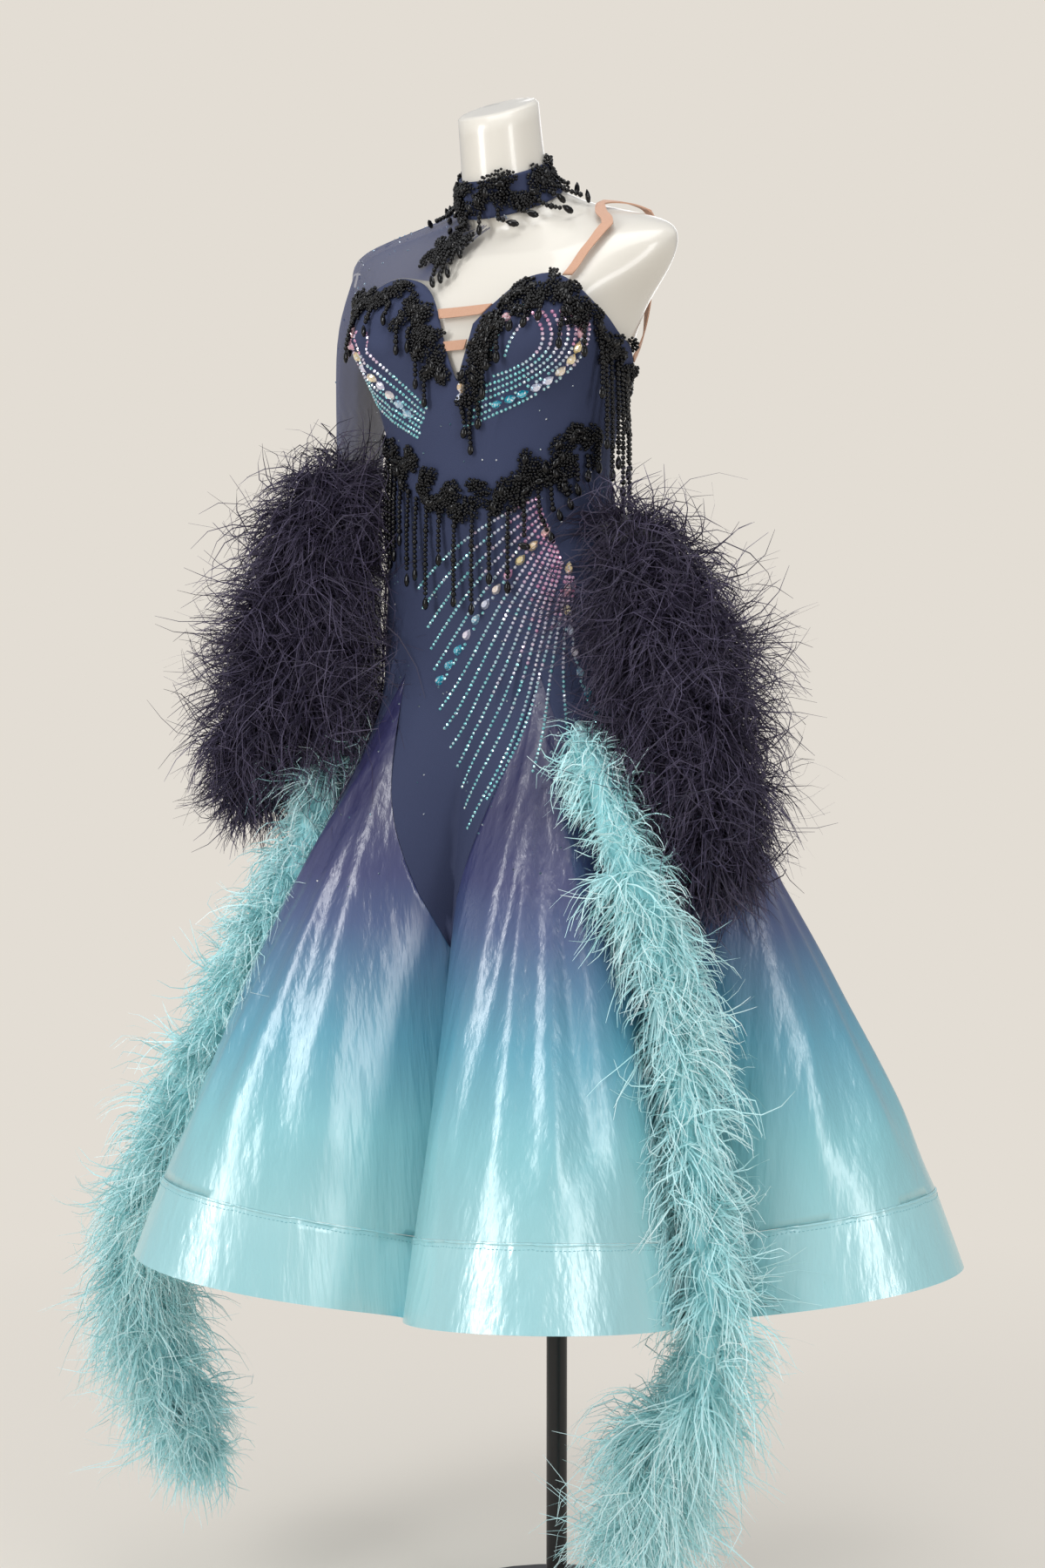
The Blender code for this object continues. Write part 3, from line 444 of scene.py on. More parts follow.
SEAM_TURNS, SEAM_LEVELS = seam_line()


def seam_at(turn):
    """The height of the seam between the godets and the hem band at a turn."""
    return np.interp(turn, SEAM_TURNS, SEAM_LEVELS, period=360)


def ridge_lift(turn, height, first, mirrored, shifted):
    """How far the ridges of a godet raise its points."""
    share = (turn - first) / GODET_TURN
    share = 1 - share if mirrored else share
    lift = np.zeros(len(turn))
    down = np.clip((GODET_TOP - height) / (GODET_TOP - GODET_FOOT), 0, 1)
    for tip, foot, top, low, wide, rise in RIDGES:
        wander = RIDGE_WANDER * np.sin(9 * height + 21 * foot)
        middle = tip + (foot + shifted - tip) * down**0.8 + wander
        begins = 1 / (1 + np.exp((height - top + 0.02) / RIDGE_SOFT_TOP))
        ends = 1 / (1 + np.exp((low - height) / RIDGE_SOFT_FOOT))
        lift += rise * begins * ends * np.exp(-(((share - middle) * GODET_TURN / wide) ** 2))
    above = np.clip((height - seam_at(turn) - SEAM_FLAT) / SEAM_RISE, 0, 1)
    beside = np.clip(np.minimum(share, 1 - share) / EDGE_FLAT, 0, 1)
    return lift * beside * above**2 * (3 - 2 * above)


for number, shifted in enumerate(RIDGE_SHIFTS, start=1):
    mesh = fine_mesh(f"godet_{number}", 3)
    points = points_of(mesh)
    first = (number - 1) * GODET_TURN
    turn = np.mod(turned(points, SKIRT_CENTRE) - first + 90, 360) + first - 90
    lift = ridge_lift(turn, points[:, 2], first, number % 2 == 0, shifted)
    shift(mesh, lift * face_way(mesh, points, SKIRT_CENTRE))
    piece = add_piece(f"godet_{number}_satin", mesh, satin, (f"godet_{number}",))


# ------------------------------------------------------------------ hem band
# A deep band of the same satin in plain aqua, stiffened with horsehair inside, sewn round the whole
# hem with one row of stitches. The stitching draws it into short puckers.
band_satin = Finish("aqua_satin", ior=1.8, specular_ior_level=1.0, coat_weight=0.6, coat_roughness=0.30)
band_satin.set(base_color=band_satin.mix(band_satin.noise(7), dyed(144, 206, 213), dyed(164, 216, 221)))
satin_weave(band_satin)
PUCKER_COUNTS = (97, 61, 151)
PUCKER_LIFT = 0.0012
PUCKER_DROP = 0.014
mesh = fine_mesh("hem_band", 3)
points = points_of(mesh)
turn = turned(points, SKIRT_CENTRE)
pucker = sum(np.sin(count * (np.radians(turn) + 2.3)) for count in PUCKER_COUNTS) / len(PUCKER_COUNTS)
near_seam = np.exp(-(((seam_at(turn) - points[:, 2] - PUCKER_DROP) / (0.5 * PUCKER_DROP)) ** 2))
shift(mesh, PUCKER_LIFT * pucker * near_seam * face_way(mesh, points, SKIRT_CENTRE))
hem = add_piece("hem_band_satin", mesh, band_satin, ("hem_band",))


def small_shape(make, shape):
    """The points and faces of a small closed shape, made with bmesh and then shaped."""
    bm = bmesh.new()
    make(bm)
    shape(bm)
    bmesh.ops.recalc_face_normals(bm, faces=bm.faces)
    points = np.array([vert.co for vert in bm.verts])
    faces = [[vert.index for vert in face.verts] for face in bm.faces]
    bm.free()
    return points, faces


def turned_to(outward, down):
    """Axes that stand a small shape's z out of the cloth and its y along the down direction."""
    z = outward / np.linalg.norm(outward)
    y = down - z * np.dot(down, z)
    y /= max(np.linalg.norm(y), 1e-9)
    return np.stack([np.cross(y, z), y, z])


def tint_points(mesh, colours):
    """Gives each point its own colour, in the attribute that the finishes read."""
    layer = mesh.attributes.new("tint", "FLOAT_COLOR", "POINT")
    layer.data.foreach_set("color", np.hstack([colours, np.ones((len(colours), 1))]).ravel())


def scatter(name, shape, spots, tints=None):
    """One mesh of a small shape at many spots (place, axes, size), each with its own tint."""
    points, faces = shape
    sizes = np.array([size for place, axes, size in spots])[:, None, :]
    axes = np.stack([axes for place, axes, size in spots])
    places = np.stack([place for place, axes, size in spots])[:, None, :]
    every = np.einsum("nki,nij->nkj", points[None] * sizes, axes) + places
    count = len(points)
    lists = [[first + k for k in face] for first in range(0, count * len(spots), count) for face in faces]
    mesh = bpy.data.meshes.new(name)
    mesh.from_pydata(every.reshape(-1, 3).tolist(), [], lists)
    if tints is not None:
        tint_points(mesh, np.repeat(np.array(tints), count, axis=0))
    return mesh


def as_made(bm):
    bm.verts.index_update()


def gather(*names):
    """One search tree of the named pieces' faces."""
    verts, faces = [], []
    for name in names:
        mesh = bpy.data.objects[name].data
        start = len(verts)
        verts += [tuple(vert.co) for vert in mesh.vertices]
        faces += [[start + k for k in face.vertices] for face in mesh.polygons]
    return BVHTree.FromPolygons(verts, faces)


def run_of(line):
    """How far along a line each of its rows lies. A row's first three values are its place."""
    return np.concatenate([[0], np.cumsum(np.linalg.norm(np.diff(line[:, :3], axis=0), axis=1))])


def read_at(line, marks):
    """The line's rows at marks along it."""
    gone = run_of(line)
    return np.stack([np.interp(marks, gone, column) for column in line.T], axis=-1)


SEAM_STEP = 0.2
SKIRT_REACH = 0.7


def along_seam(skin, below, pitch):
    """Places round the band at a depth below its top edge, a pitch apart, and the way out at each."""
    laid = []
    for turn in np.arange(0, 360, SEAM_STEP):
        angle = math.radians(turn)
        way = Vector((math.sin(angle), -math.cos(angle), 0))
        middle = Vector((*SKIRT_CENTRE, seam_at(turn) - below))
        spot, normal, _, _ = skin.ray_cast(middle + way * SKIRT_REACH, -way, SKIRT_REACH)
        if spot is not None:
            laid.append((*spot, *normal))
    laid = np.array(laid + laid[:1])
    whole = run_of(laid)[-1]
    rows = read_at(laid, np.linspace(0, whole, int(whole / pitch), endpoint=False))
    return rows[:, :3], rows[:, 3:]


# The seam's turned edge lies under the satin as a fine roll, and one row of stitches runs below it.
ROLL_RADIUS = 0.0010
ROLL_DEPTH = 0.0016
ROLL_PITCH = 0.0030
STITCH_DEPTH = 0.0062
STITCH_PITCH = 0.0044
STITCH_SIZE = (0.0011, 0.0034, 0.0009)
band_skin = gather("hem_band_satin")
places, outs = along_seam(band_skin, ROLL_DEPTH, ROLL_PITCH)
roll_line = bpy.data.curves.new("seam_roll", "CURVE")
roll_line.dimensions = "3D"
roll_line.bevel_depth, roll_line.bevel_resolution = ROLL_RADIUS, 1
spline = roll_line.splines.new("POLY")
spline.points.add(len(places) - 1)
spline.points.foreach_set("co", np.hstack([places, np.ones((len(places), 1))]).ravel())
spline.use_cyclic_u = True
roll = add_piece("hem_seam_roll", evaluated(roll_line), band_satin, smooth=60)


def stitch_shape(bm):
    bmesh.ops.create_icosphere(bm, subdivisions=1, radius=0.5)


thread = Finish("hem_thread", sheen_weight=0.2, specular_ior_level=0.4)
thread.set(base_color=thread.mix(thread.noise(300), dyed(118, 178, 188), dyed(150, 204, 210)),
           roughness=0.45 + 0.2 * thread.noise(900))
places, outs = along_seam(band_skin, STITCH_DEPTH, STITCH_PITCH)
spots = [
    (place, turned_to(out, ahead - place), STITCH_SIZE)
    for place, out, ahead in zip(places, outs, np.roll(places, -1, axis=0))
]
sewn = scatter("hem_stitches", small_shape(stitch_shape, as_made), spots)
stitches = add_piece("hem_stitches", sewn, thread, smooth=60)


# ------------------------------------------------------------------ net yoke and sleeve
# Sheer stretch net in navy over the right shoulder, in a front and a back, and one straight sleeve.
# Where two layers of the net lie behind each other their meshes cross in wavy bands.
def outer_skin(node, levels, centre_of):
    """The outer skin alone of a net node, smoothed."""
    bm = bmesh.new()
    bm.from_mesh(fine_mesh(node, levels))
    inner = []
    for face in bm.faces:
        middle = face.calc_center_median()
        if face.normal.dot(middle - centre_of(middle)) < 0.25 * (middle - centre_of(middle)).length:
            inner.append(face)
    bmesh.ops.delete(bm, geom=inner, context="FACES")
    return mesh_of(bm, f"{node}_skin")


def net_finish(name, cover, crossing):
    """Sheer net: its cover is how much of it is thread, and crossing how strong its wavy bands are."""
    net = Finish(name, roughness=0.6, sheen_weight=0.3, sheen_roughness=0.4, specular_ior_level=0.25,
                 sheen_tint=(*dyed(130, 145, 195), 1.0))
    x, y, z = (net.node("ShaderNodeSeparateXYZ", sockets={0: net.place()}, output=k) for k in range(3))
    low = ((1.42 - z) / 0.14).clamped()
    ripple = 0.9 * (z * 150).sine() + 2.0 * net.noise(9, (1, 1, 0.5))
    bands = ((x * 560 + y * 380 + ripple * 2.4).sine() * 0.5 + 0.5) ** 2
    wavy = bands * low * crossing
    net.set(
        base_color=net.mix(wavy, dyed(52, 61, 98), dyed(84, 92, 122)),
        alpha=(cover - 0.16 * wavy + 0.10 * net.noise(7)).clamped(),
    )
    net.bump(net.noise(2600, detail=0.0), 0.0001)
    return net


yoke_net = net_finish("navy_net", 0.58, 0.0)
sleeve_net = net_finish("navy_net_sleeve", 0.64, 0.7)
CHEST = Vector((-0.04, -0.06, 1.40))
for node, width, length, area in (("yoke_front", 0.27, 0.21, 0.023), ("yoke_back", 0.32, 0.32, 0.047)):
    piece = add_piece(f"{node}_net", outer_skin(node, 2, lambda middle: CHEST), yoke_net, (node,))
sleeve = add_piece(
    "sleeve_net", outer_skin("sleeve", 2, lambda middle: Vector((-0.231, -0.057, middle.z))), sleeve_net,
    ("sleeve",),
)


# ------------------------------------------------------------------ collar and straps
# A stand collar of the bodice crepe, and three narrow straps of skin-toned elastic: two across the
# keyhole between the cups and one from the left cup over the shoulder to the back.
piece = add_piece("collar_crepe", fine_mesh("collar", 2), crepe, ("collar",))

elastic = Finish("nude_elastic", sheen_weight=0.2, specular_ior_level=0.3)
ribs = elastic.noise(1200, (1, 1, 0.3), 1.0)
elastic.set(
    base_color=elastic.mix(ribs, dyed(182, 138, 112), dyed(196, 156, 132)), roughness=0.55 + 0.2 * ribs,
)
elastic.bump(ribs, 0.0002)
STRAPS = {"strap_shoulder": 0.48, "strap_keyhole_upper": 0.078, "strap_keyhole_lower": 0.036}
for node, length in STRAPS.items():
    piece = add_piece(f"{node}_elastic", fine_mesh(node, 2), elastic, (node,))


# ------------------------------------------------------------------ black bead trims
# Appliques of cut black glass, sewn bead by bead to the edges of the collar, the yoke and the cups, at
# the left side and round the waist, with strings of beads that hang from them and end in a drop.
def joined(name, meshes):
    """Several small-part meshes as one."""
    bm = bmesh.new()
    for mesh in meshes:
        bm.from_mesh(mesh)
    return mesh_of(bm, name)


def round_bead(bm):
    bmesh.ops.create_icosphere(bm, subdivisions=1, radius=0.54)


def cut_stone(bm):
    """A faceted pear shape, pointed at its upper end."""
    bmesh.ops.create_uvsphere(bm, u_segments=8, v_segments=5, radius=0.5)


def to_pear(bm):
    bmesh.ops.rotate(bm, verts=bm.verts, matrix=Matrix.Rotation(-math.pi / 2, 3, "X"))
    for vert in bm.verts:
        narrow = 1 - 0.62 * max(0.0, -2 * vert.co.y) ** 1.4
        vert.co.x *= narrow
        vert.co.z *= narrow
    bm.verts.index_update()


def pointed_ends(mesh_bm):
    """Each strand or lock of a node: its tip and the middles and corners of the rings behind it."""
    found = []
    for vert in mesh_bm.verts:
        if len(vert.link_edges) != 4:
            continue
        ways = [(edge.other_vert(vert).co - vert.co).normalized() for edge in vert.link_edges]
        if sum(ways, Vector()).length < 3.0:
            continue
        rings, seen = [], {vert}
        ring = {edge.other_vert(vert) for edge in vert.link_edges}
        while len(ring) == 4 and len(rings) < 4:
            rings.append([np.array(v.co) for v in ring])
            seen |= ring
            ring = {edge.other_vert(v) for v in ring for edge in v.link_edges} - seen
        found.append((np.array(vert.co), rings))
    return found


BEAD = small_shape(round_bead, as_made)
PEAR = small_shape(cut_stone, to_pear)
BEAD_PITCH = 0.0051
BEAD_SIZES = (0.0053, 0.0053, 0.0059, 0.0053, 0.0053, 0.0068, 0.0053)
LEAF_PITCH = 0.0036
LEAF_JITTER = 0.0052
OVERHANG = 0.0085
LEAF_LONG, LEAF_WIDE, LEAF_DOME = (0.020, 0.034), (0.011, 0.016), (0.0020, 0.0052)
LEAF_BEADS, LEAF_SHARES = (0.0032, 0.0036, 0.0041), (0.3, 0.5, 0.2)
LEAF_STONE = (0.0078, 0.0128, 0.0056)
STONE_SHARE = 0.42
DROP_LONG, DROP_WIDE = (0.0130, 0.003), (0.0074, 0.001)

jet_glass = Finish("jet_glass", specular_ior_level=0.31)
jet_glass.set(
    base_color=jet_glass.mix(jet_glass.noise(240), dyed(3, 3, 4), dyed(12, 11, 13)),
    roughness=0.04 + 0.10 * jet_glass.noise(160),
)
ground = gather(
    "body_front_crepe", "body_back_crepe", "yoke_front_net", "yoke_back_net", "collar_crepe", "form_polished",
)


def bead_string(line, rng, beads, pears):
    """Threads beads from a string's top down to its drop, and adds the drop."""
    line = np.array(line)
    whole = run_of(line)[-1]
    drop_long = DROP_LONG[0] + DROP_LONG[1] * rng.random()
    phase = rng.integers(7)
    for k, place in enumerate(read_at(line, np.arange(0.5 * BEAD_PITCH, whole - drop_long, BEAD_PITCH))):
        size = BEAD_SIZES[(k + phase) % 7] * (0.95 + 0.1 * rng.random())
        beads.append((place, np.eye(3), (size, size, size * 1.02)))
    middle = read_at(line, whole - drop_long / 2)
    wide = DROP_WIDE[0] + DROP_WIDE[1] * rng.random()
    outward = np.array((middle[0], middle[1] + 0.06, 0.001))
    pears.append((middle, turned_to(outward, line[-1] - line[-2]), (wide, drop_long, wide * 0.8)))


def sew_leaf(centre, rng, beads, pears):
    """Adds a leaf of an applique: domed rows of beads on the cloth round a centre, often with a stone."""
    spot, way, _, _ = ground.find_nearest(Vector(centre))
    spot, way = np.array(spot), np.array(way)
    axes = turned_to(way, rng.normal(0, 1, 3) + np.array((0, 0, -0.6)))
    long, wide = rng.uniform(*LEAF_LONG), rng.uniform(*LEAF_WIDE)
    dome = rng.uniform(*LEAF_DOME)
    set_stone = rng.random() < STONE_SHARE
    for row, y in enumerate(np.arange(-long / 2, long / 2, LEAF_PITCH * 0.87)):
        taper = 1 - (2 * y / long) ** 2
        half = wide / 2 * taper**0.7
        for x in np.arange(-half + (row % 2) * LEAF_PITCH / 2, half, LEAF_PITCH):
            if set_stone and (x / 0.0036) ** 2 + (y / 0.0060) ** 2 < 1:
                continue
            flat = spot + axes[0] * x + axes[1] * y + rng.normal(0, 0.0004, 3)
            below, facing, _, _ = ground.find_nearest(Vector(flat))
            below, facing = np.array(below), np.array(facing)
            off = flat - below
            aside = np.linalg.norm(off - facing * np.dot(off, facing))
            if aside > OVERHANG:
                continue
            if aside > 0.0015 or np.dot(facing, way) < 0.3:
                below, facing = flat, way
            rise = 0.0018 + dome * taper * (1 - (2 * x / wide) ** 2)
            size = rng.choice(LEAF_BEADS, p=LEAF_SHARES)
            beads.append((below + facing * rise, axes, (size, size, size)))
    if set_stone:
        pears.append((spot + way * (0.0022 + dome * 0.8), axes, LEAF_STONE))


# Each trim with the cloth that one leaf has to itself, in square metres.
TRIMS = {"trim_collar": 100e-6, "trim_yoke": 90e-6, "trim_right_cup": 100e-6, "trim_left_cup": 100e-6,
         "trim_side": 110e-6, "trim_waist": 105e-6}
# Leaves and strings sewn on apart from the bands: at the foot of the opening between the cups, and on
# the shoulder strap's foot.
LOOSE_LEAVES = {
    "trim_left_cup": ((0.019, -0.196, 1.395), (0.004, -0.196, 1.401), (0.012, -0.200, 1.383),
                      (0.024, -0.200, 1.382), (0.006, -0.200, 1.372), (0.104, -0.175, 1.508)),
}
LOOSE_STRINGS = {
    "trim_left_cup": (((0.016, -0.204, 1.376), 0.062), ((0.006, -0.204, 1.372), 0.040),
                      ((0.024, -0.204, 1.374), 0.034)),
}
for number, (node, each_leaf) in enumerate(TRIMS.items()):
    rng = np.random.default_rng(40 + number)
    bm = welded(node)
    beads, pears = [], []
    strand_verts = set()
    for tip, rings in pointed_ends(bm):
        if len(rings) < 3 or tip[2] > rings[0][0][2]:
            continue
        middles = [np.mean(ring, axis=0) for ring in rings]
        strand_verts |= {tuple(np.round(point, 5)) for ring in rings[:3] for point in ring}
        strand_verts.add(tuple(np.round(tip, 5)))
        bead_string(middles[::-1] + [tip], rng, beads, pears)
    for face in bm.faces:
        corners = [np.array(vert.co) for vert in face.verts]
        if any(tuple(np.round(point, 5)) in strand_verts for point in corners):
            continue
        middle = np.mean(corners, axis=0)
        spot, way, _, away = ground.find_nearest(Vector(middle))
        if away < 0.0032 or abs(face.normal.dot(way)) < 0.6:
            continue
        for _ in range(int(face.calc_area() / each_leaf + rng.random())):
            a, b = sorted(rng.random(2))
            point = corners[0] * a + corners[1] * (b - a) + corners[2] * (1 - b)
            sew_leaf(point + rng.normal(0, LEAF_JITTER, 3), rng, beads, pears)
    bm.free()
    for centre in LOOSE_LEAVES.get(node, ()):
        sew_leaf(np.array(centre), rng, beads, pears)
    for top, fall in LOOSE_STRINGS.get(node, ()):
        line = [np.array(top) + np.array((0, -0.0045, -drop)) for drop in np.linspace(0, fall, 6)]
        resting = [np.array(ground.find_nearest(Vector(point))[0]) + (0, -0.0035, 0) for point in line]
        bead_string(resting, rng, beads, pears)
    mesh = joined(f"{node}_beads", [scatter("beads", BEAD, beads), scatter("pears", PEAR, pears)])
    add_piece(f"{node}_beads", mesh, jet_glass, (node,), smooth=44)


# ------------------------------------------------------------------ crystals
# Flat-backed cut crystals glued to the crepe in sprays that sweep round the cups and fan from the left
# hip, from rose at their roots through clear to aqua at their ends, with pear stones between the rows
# and small dark ones strewn over the crepe and the net.
def flat_back(bm):
    bmesh.ops.create_cone(bm, cap_ends=True, segments=8, radius1=0.5, radius2=0.28, depth=0.36)


def pear_flat(bm):
    bmesh.ops.create_cone(bm, cap_ends=True, segments=10, radius1=0.5, radius2=0.30, depth=0.40)


def to_pear_flat(bm):
    for vert in bm.verts:
        vert.co.x *= 1 - 0.68 * max(0.0, -2 * vert.co.y) ** 1.3
    bm.verts.index_update()


ROSE, PALE, MINT, AQUA, GOLD = (
    dyed(226, 158, 196), dyed(226, 218, 238), dyed(132, 214, 218), dyed(16, 164, 190), dyed(236, 214, 150),
)
cut_crystal = Finish("cut_crystal", metallic=0.45, specular_ior_level=1.0, coat_weight=1.0,
                     coat_roughness=0.02)
tint = cut_crystal.node("ShaderNodeAttribute", {"attribute_name": "tint"})
# Peaks of this noise turn a stone's colour near white: painted glints on the facets. The same noise also
# varies the roughness.
painted_glint_and_roughness = cut_crystal.noise(420, detail=1.0)
cut_crystal.set(
    base_color=cut_crystal.mix((painted_glint_and_roughness * 5.0 - 2.6).clamped(), tint, (0.97, 0.96, 1.0)),
    roughness=0.05 + 0.08 * painted_glint_and_roughness,
)
STONE = small_shape(flat_back, as_made)
PEAR_STONE = small_shape(pear_flat, to_pear_flat)
crepe_skin = gather("body_front_crepe", "body_back_crepe", "godet_1_satin", "godet_2_satin", "godet_6_satin")


def on_gown(turn, height):
    """The gown's skin at a turn from the front and a height, and the way it faces."""
    way = Vector((math.sin(math.radians(turn)) * 1.25, -math.cos(math.radians(turn)), 0)).normalized()
    up = min(max((height - 0.86) / 0.30, 0.0), 1.0)
    inside = Vector((-0.008 - 0.010 * up, -0.030 - 0.040 * up, height))
    spot, normal, _, _ = crepe_skin.ray_cast(inside + way * 0.5, -way, 0.5)
    return (None, None) if spot is None else (np.array(spot), np.array(normal))


def bowed(start, bend, end, spacing):
    """Evenly spaced places along a bowed line on the gown, with how far along each one is."""
    share = np.linspace(0, 1, 60)[:, None]
    line = ((1 - share) ** 2 * np.array(start) + 2 * share * (1 - share) * np.array(bend)
            + share**2 * np.array(end))
    laid = [(*on_gown(*row), s) for row, s in zip(line, share.ravel())]
    laid = np.array([(*spot, *normal, s) for spot, normal, s in laid if spot is not None])
    rows = read_at(laid, np.arange(0, run_of(laid)[-1], spacing))
    return [(row[:3], row[3:6] / np.linalg.norm(row[3:6]), row[6]) for row in rows]


def between(colours, share):
    share = min(max(share, 0.0), 1.0) * (len(colours) - 1)
    low = min(int(share), len(colours) - 2)
    mixed = np.array(colours[low]) * (1 - share + low) + np.array(colours[low + 1]) * (share - low)
    return tuple(mixed)


# Sprays of rows: rows, then start, bend and end of the first row and of the last, as turn and height.
SPRAYS = {
    "left_cup_outer": (7, (57, 1.462), (72, 1.396), (8, 1.346), (37, 1.458), (48, 1.410), (21, 1.396)),
    "left_cup_inner": (2, (30, 1.458), (23, 1.440), (20, 1.408), (35, 1.452), (29, 1.438), (27, 1.415)),
    "right_cup": (7, (-64, 1.468), (-76, 1.405), (-16, 1.338), (-36, 1.452), (-32, 1.412), (-10, 1.368)),
    "hip_fan": (13, (42, 1.272), (14, 1.246), (-26, 1.178), (54, 1.205), (38, 1.090), (8, 0.925)),
    "hip_fall": (4, (57, 1.200), (44, 1.110), (16, 0.960), (60, 1.185), (52, 1.120), (58, 1.040)),
}
PEAR_ROWS = {
    "left_cup": ((55, 1.446), (60, 1.394), (20, 1.366), 9),
    "left_cup_top": ((26, 1.452), (31, 1.464), (37, 1.466), 3),
    "right_cup": ((-47, 1.462), (-40, 1.405), (-19, 1.358), 9),
    "middle": ((8, 1.392), (7.5, 1.384), (6.5, 1.370), 2),
    "hip": ((50, 1.245), (24, 1.190), (-14, 1.072), 11),
    "hip_side": ((58, 1.210), (52, 1.120), (60, 1.040), 8),
}
ROW_PITCH = 0.0050
STONE_SIZE, PEAR_SIZE = 0.0044, (0.0094, 0.0140, 0.0100)
PEAR_CLEAR = 0.0066
STREWN, STREWN_SIZES = 230, (0.0022, 0.0028)
rng = np.random.default_rng(7)
stones, stone_tints, pears, pear_tints = [], [], [], []
for start, bend, end, count in PEAR_ROWS.values():
    line = bowed(start, bend, end, 0.002)
    for k in range(count):
        at = int((k + 0.5) / count * (len(line) - 1))
        place, normal, share = line[at]
        ahead = line[min(at + 2, len(line) - 1)][0] - line[max(at - 2, 0)][0]
        pears.append((place + normal * 0.0020, turned_to(normal, ahead), PEAR_SIZE))
        pear_tints.append(between((ROSE, GOLD, PALE, AQUA, AQUA), share + 0.15 * rng.normal()))
pear_places = np.array([place for place, axes, size in pears])
for rows, *ends in SPRAYS.values():
    first, last = np.array(ends[:3], float), np.array(ends[3:], float)
    for k in range(rows):
        start, bend, end = first + (last - first) * k / max(rows - 1, 1)
        for place, normal, share in bowed(start, bend, end, ROW_PITCH):
            if np.linalg.norm(pear_places - place, axis=1).min() < PEAR_CLEAR:
                continue
            size = STONE_SIZE * (1 - 0.16 * share) * (0.94 + 0.12 * rng.random())
            leant = normal + rng.normal(0, 0.10, 3)
            stones.append((place + normal * size * 0.20, turned_to(leant, rng.normal(0, 1, 3)), (size,) * 3))
            stone_tints.append(between((ROSE, PALE, MINT, MINT), share + 0.12 * rng.normal()))
for _ in range(STREWN):
    turn, height = rng.uniform(-88, 88), rng.uniform(0.86, 1.40)
    place, normal = on_gown(turn, height)
    if place is None or rng.random() < 0.15:
        continue
    size = rng.choice(STREWN_SIZES)
    stones.append((place + normal * size * 0.16, turned_to(normal, rng.normal(0, 1, 3)), (size,) * 3))
    stone_tints.append(between((dyed(40, 52, 78), dyed(70, 110, 130)), rng.random()))
mesh = joined("crystals", [
    scatter("stones", STONE, stones, stone_tints), scatter("pears", PEAR_STONE, pears, pear_tints),
])
add_piece("crystal_sprays", mesh, cut_crystal, smooth=12)

# Small crystals strewn on the net of the yoke and of the sleeve.
ON_EACH_NET, NET_SIZES = 46, (0.0022, 0.0030)
strewn, strewn_tints = [], []
for piece in ("yoke_front_net", "sleeve_net", "yoke_back_net"):
    faces = list(bpy.data.objects[piece].data.polygons)
    for face in rng.choice(len(faces), ON_EACH_NET, replace=False):
        size = rng.choice(NET_SIZES)
        normal = np.array(faces[face].normal)
        place = np.array(faces[face].center) + normal * size * 0.16
        strewn.append((place, turned_to(normal, rng.normal(0, 1, 3)), (size,) * 3))
        strewn_tints.append(between((dyed(34, 40, 62), dyed(120, 160, 190)), rng.random()))
add_piece("net_crystals", scatter("net_crystals", STONE, strewn, strewn_tints), cut_crystal,
          smooth=12)


# ------------------------------------------------------------------ feather floats
# Ostrich plumes sewn in tufts along a soft cord: a dark pair at the right sleeve and the left hip, and
# a long pair in aqua that trails down the skirt to near the floor. Each tuft opens into curling barbs.
BARB_STEPS = 5
BARB_ROOT = 0.0015
BARB_TIP = 0.00035
BARBS_EACH = 11200
BARBS_TOGETHER = 7
NEAR_TUFTS = 0.09
SKIN_CLEAR = 0.003
BOX_MARGIN = 0.022
ROOT_SUNK = 0.004
TUFT_KEPT = 0.12
HEM_FOOT, HIP_HEIGHT, CLOTH_REACH = 0.43, 1.02, 0.44
WAIST_CENTRE, HIP_CENTRE = (-0.018, -0.070), (0.0, -0.02)


def unit(rows):
    return rows / np.maximum(np.linalg.norm(rows, axis=-1, keepdims=True), 1e-9)


def cord_ways(bases):
    """Beside each tuft, the cord's way down."""
    ways = []
    for base in bases:
        near = bases[np.linalg.norm(bases - base, axis=1) < NEAR_TUFTS]
        way = np.linalg.svd(near - near.mean(axis=0))[2][0]
        ways.append(way if way[2] < 0 else -way)
    return np.array(ways)


def over_core(mesh, count, rng):
    """Places spread evenly over a core's skin, and the ways it faces there."""
    mesh.calc_loop_triangles()
    corners = points_of(mesh)[np.array([tri.vertices for tri in mesh.loop_triangles])]
    crossed = np.cross(corners[:, 1] - corners[:, 0], corners[:, 2] - corners[:, 0])
    size = np.linalg.norm(crossed, axis=1)
    pick = rng.choice(len(corners), count, p=size / size.sum())
    a, b = np.sort(rng.random((2, count)), axis=0)[..., None]
    places = corners[pick, 0] * a + corners[pick, 1] * (b - a) + corners[pick, 2] * (1 - b)
    return places, unit(crossed[pick])


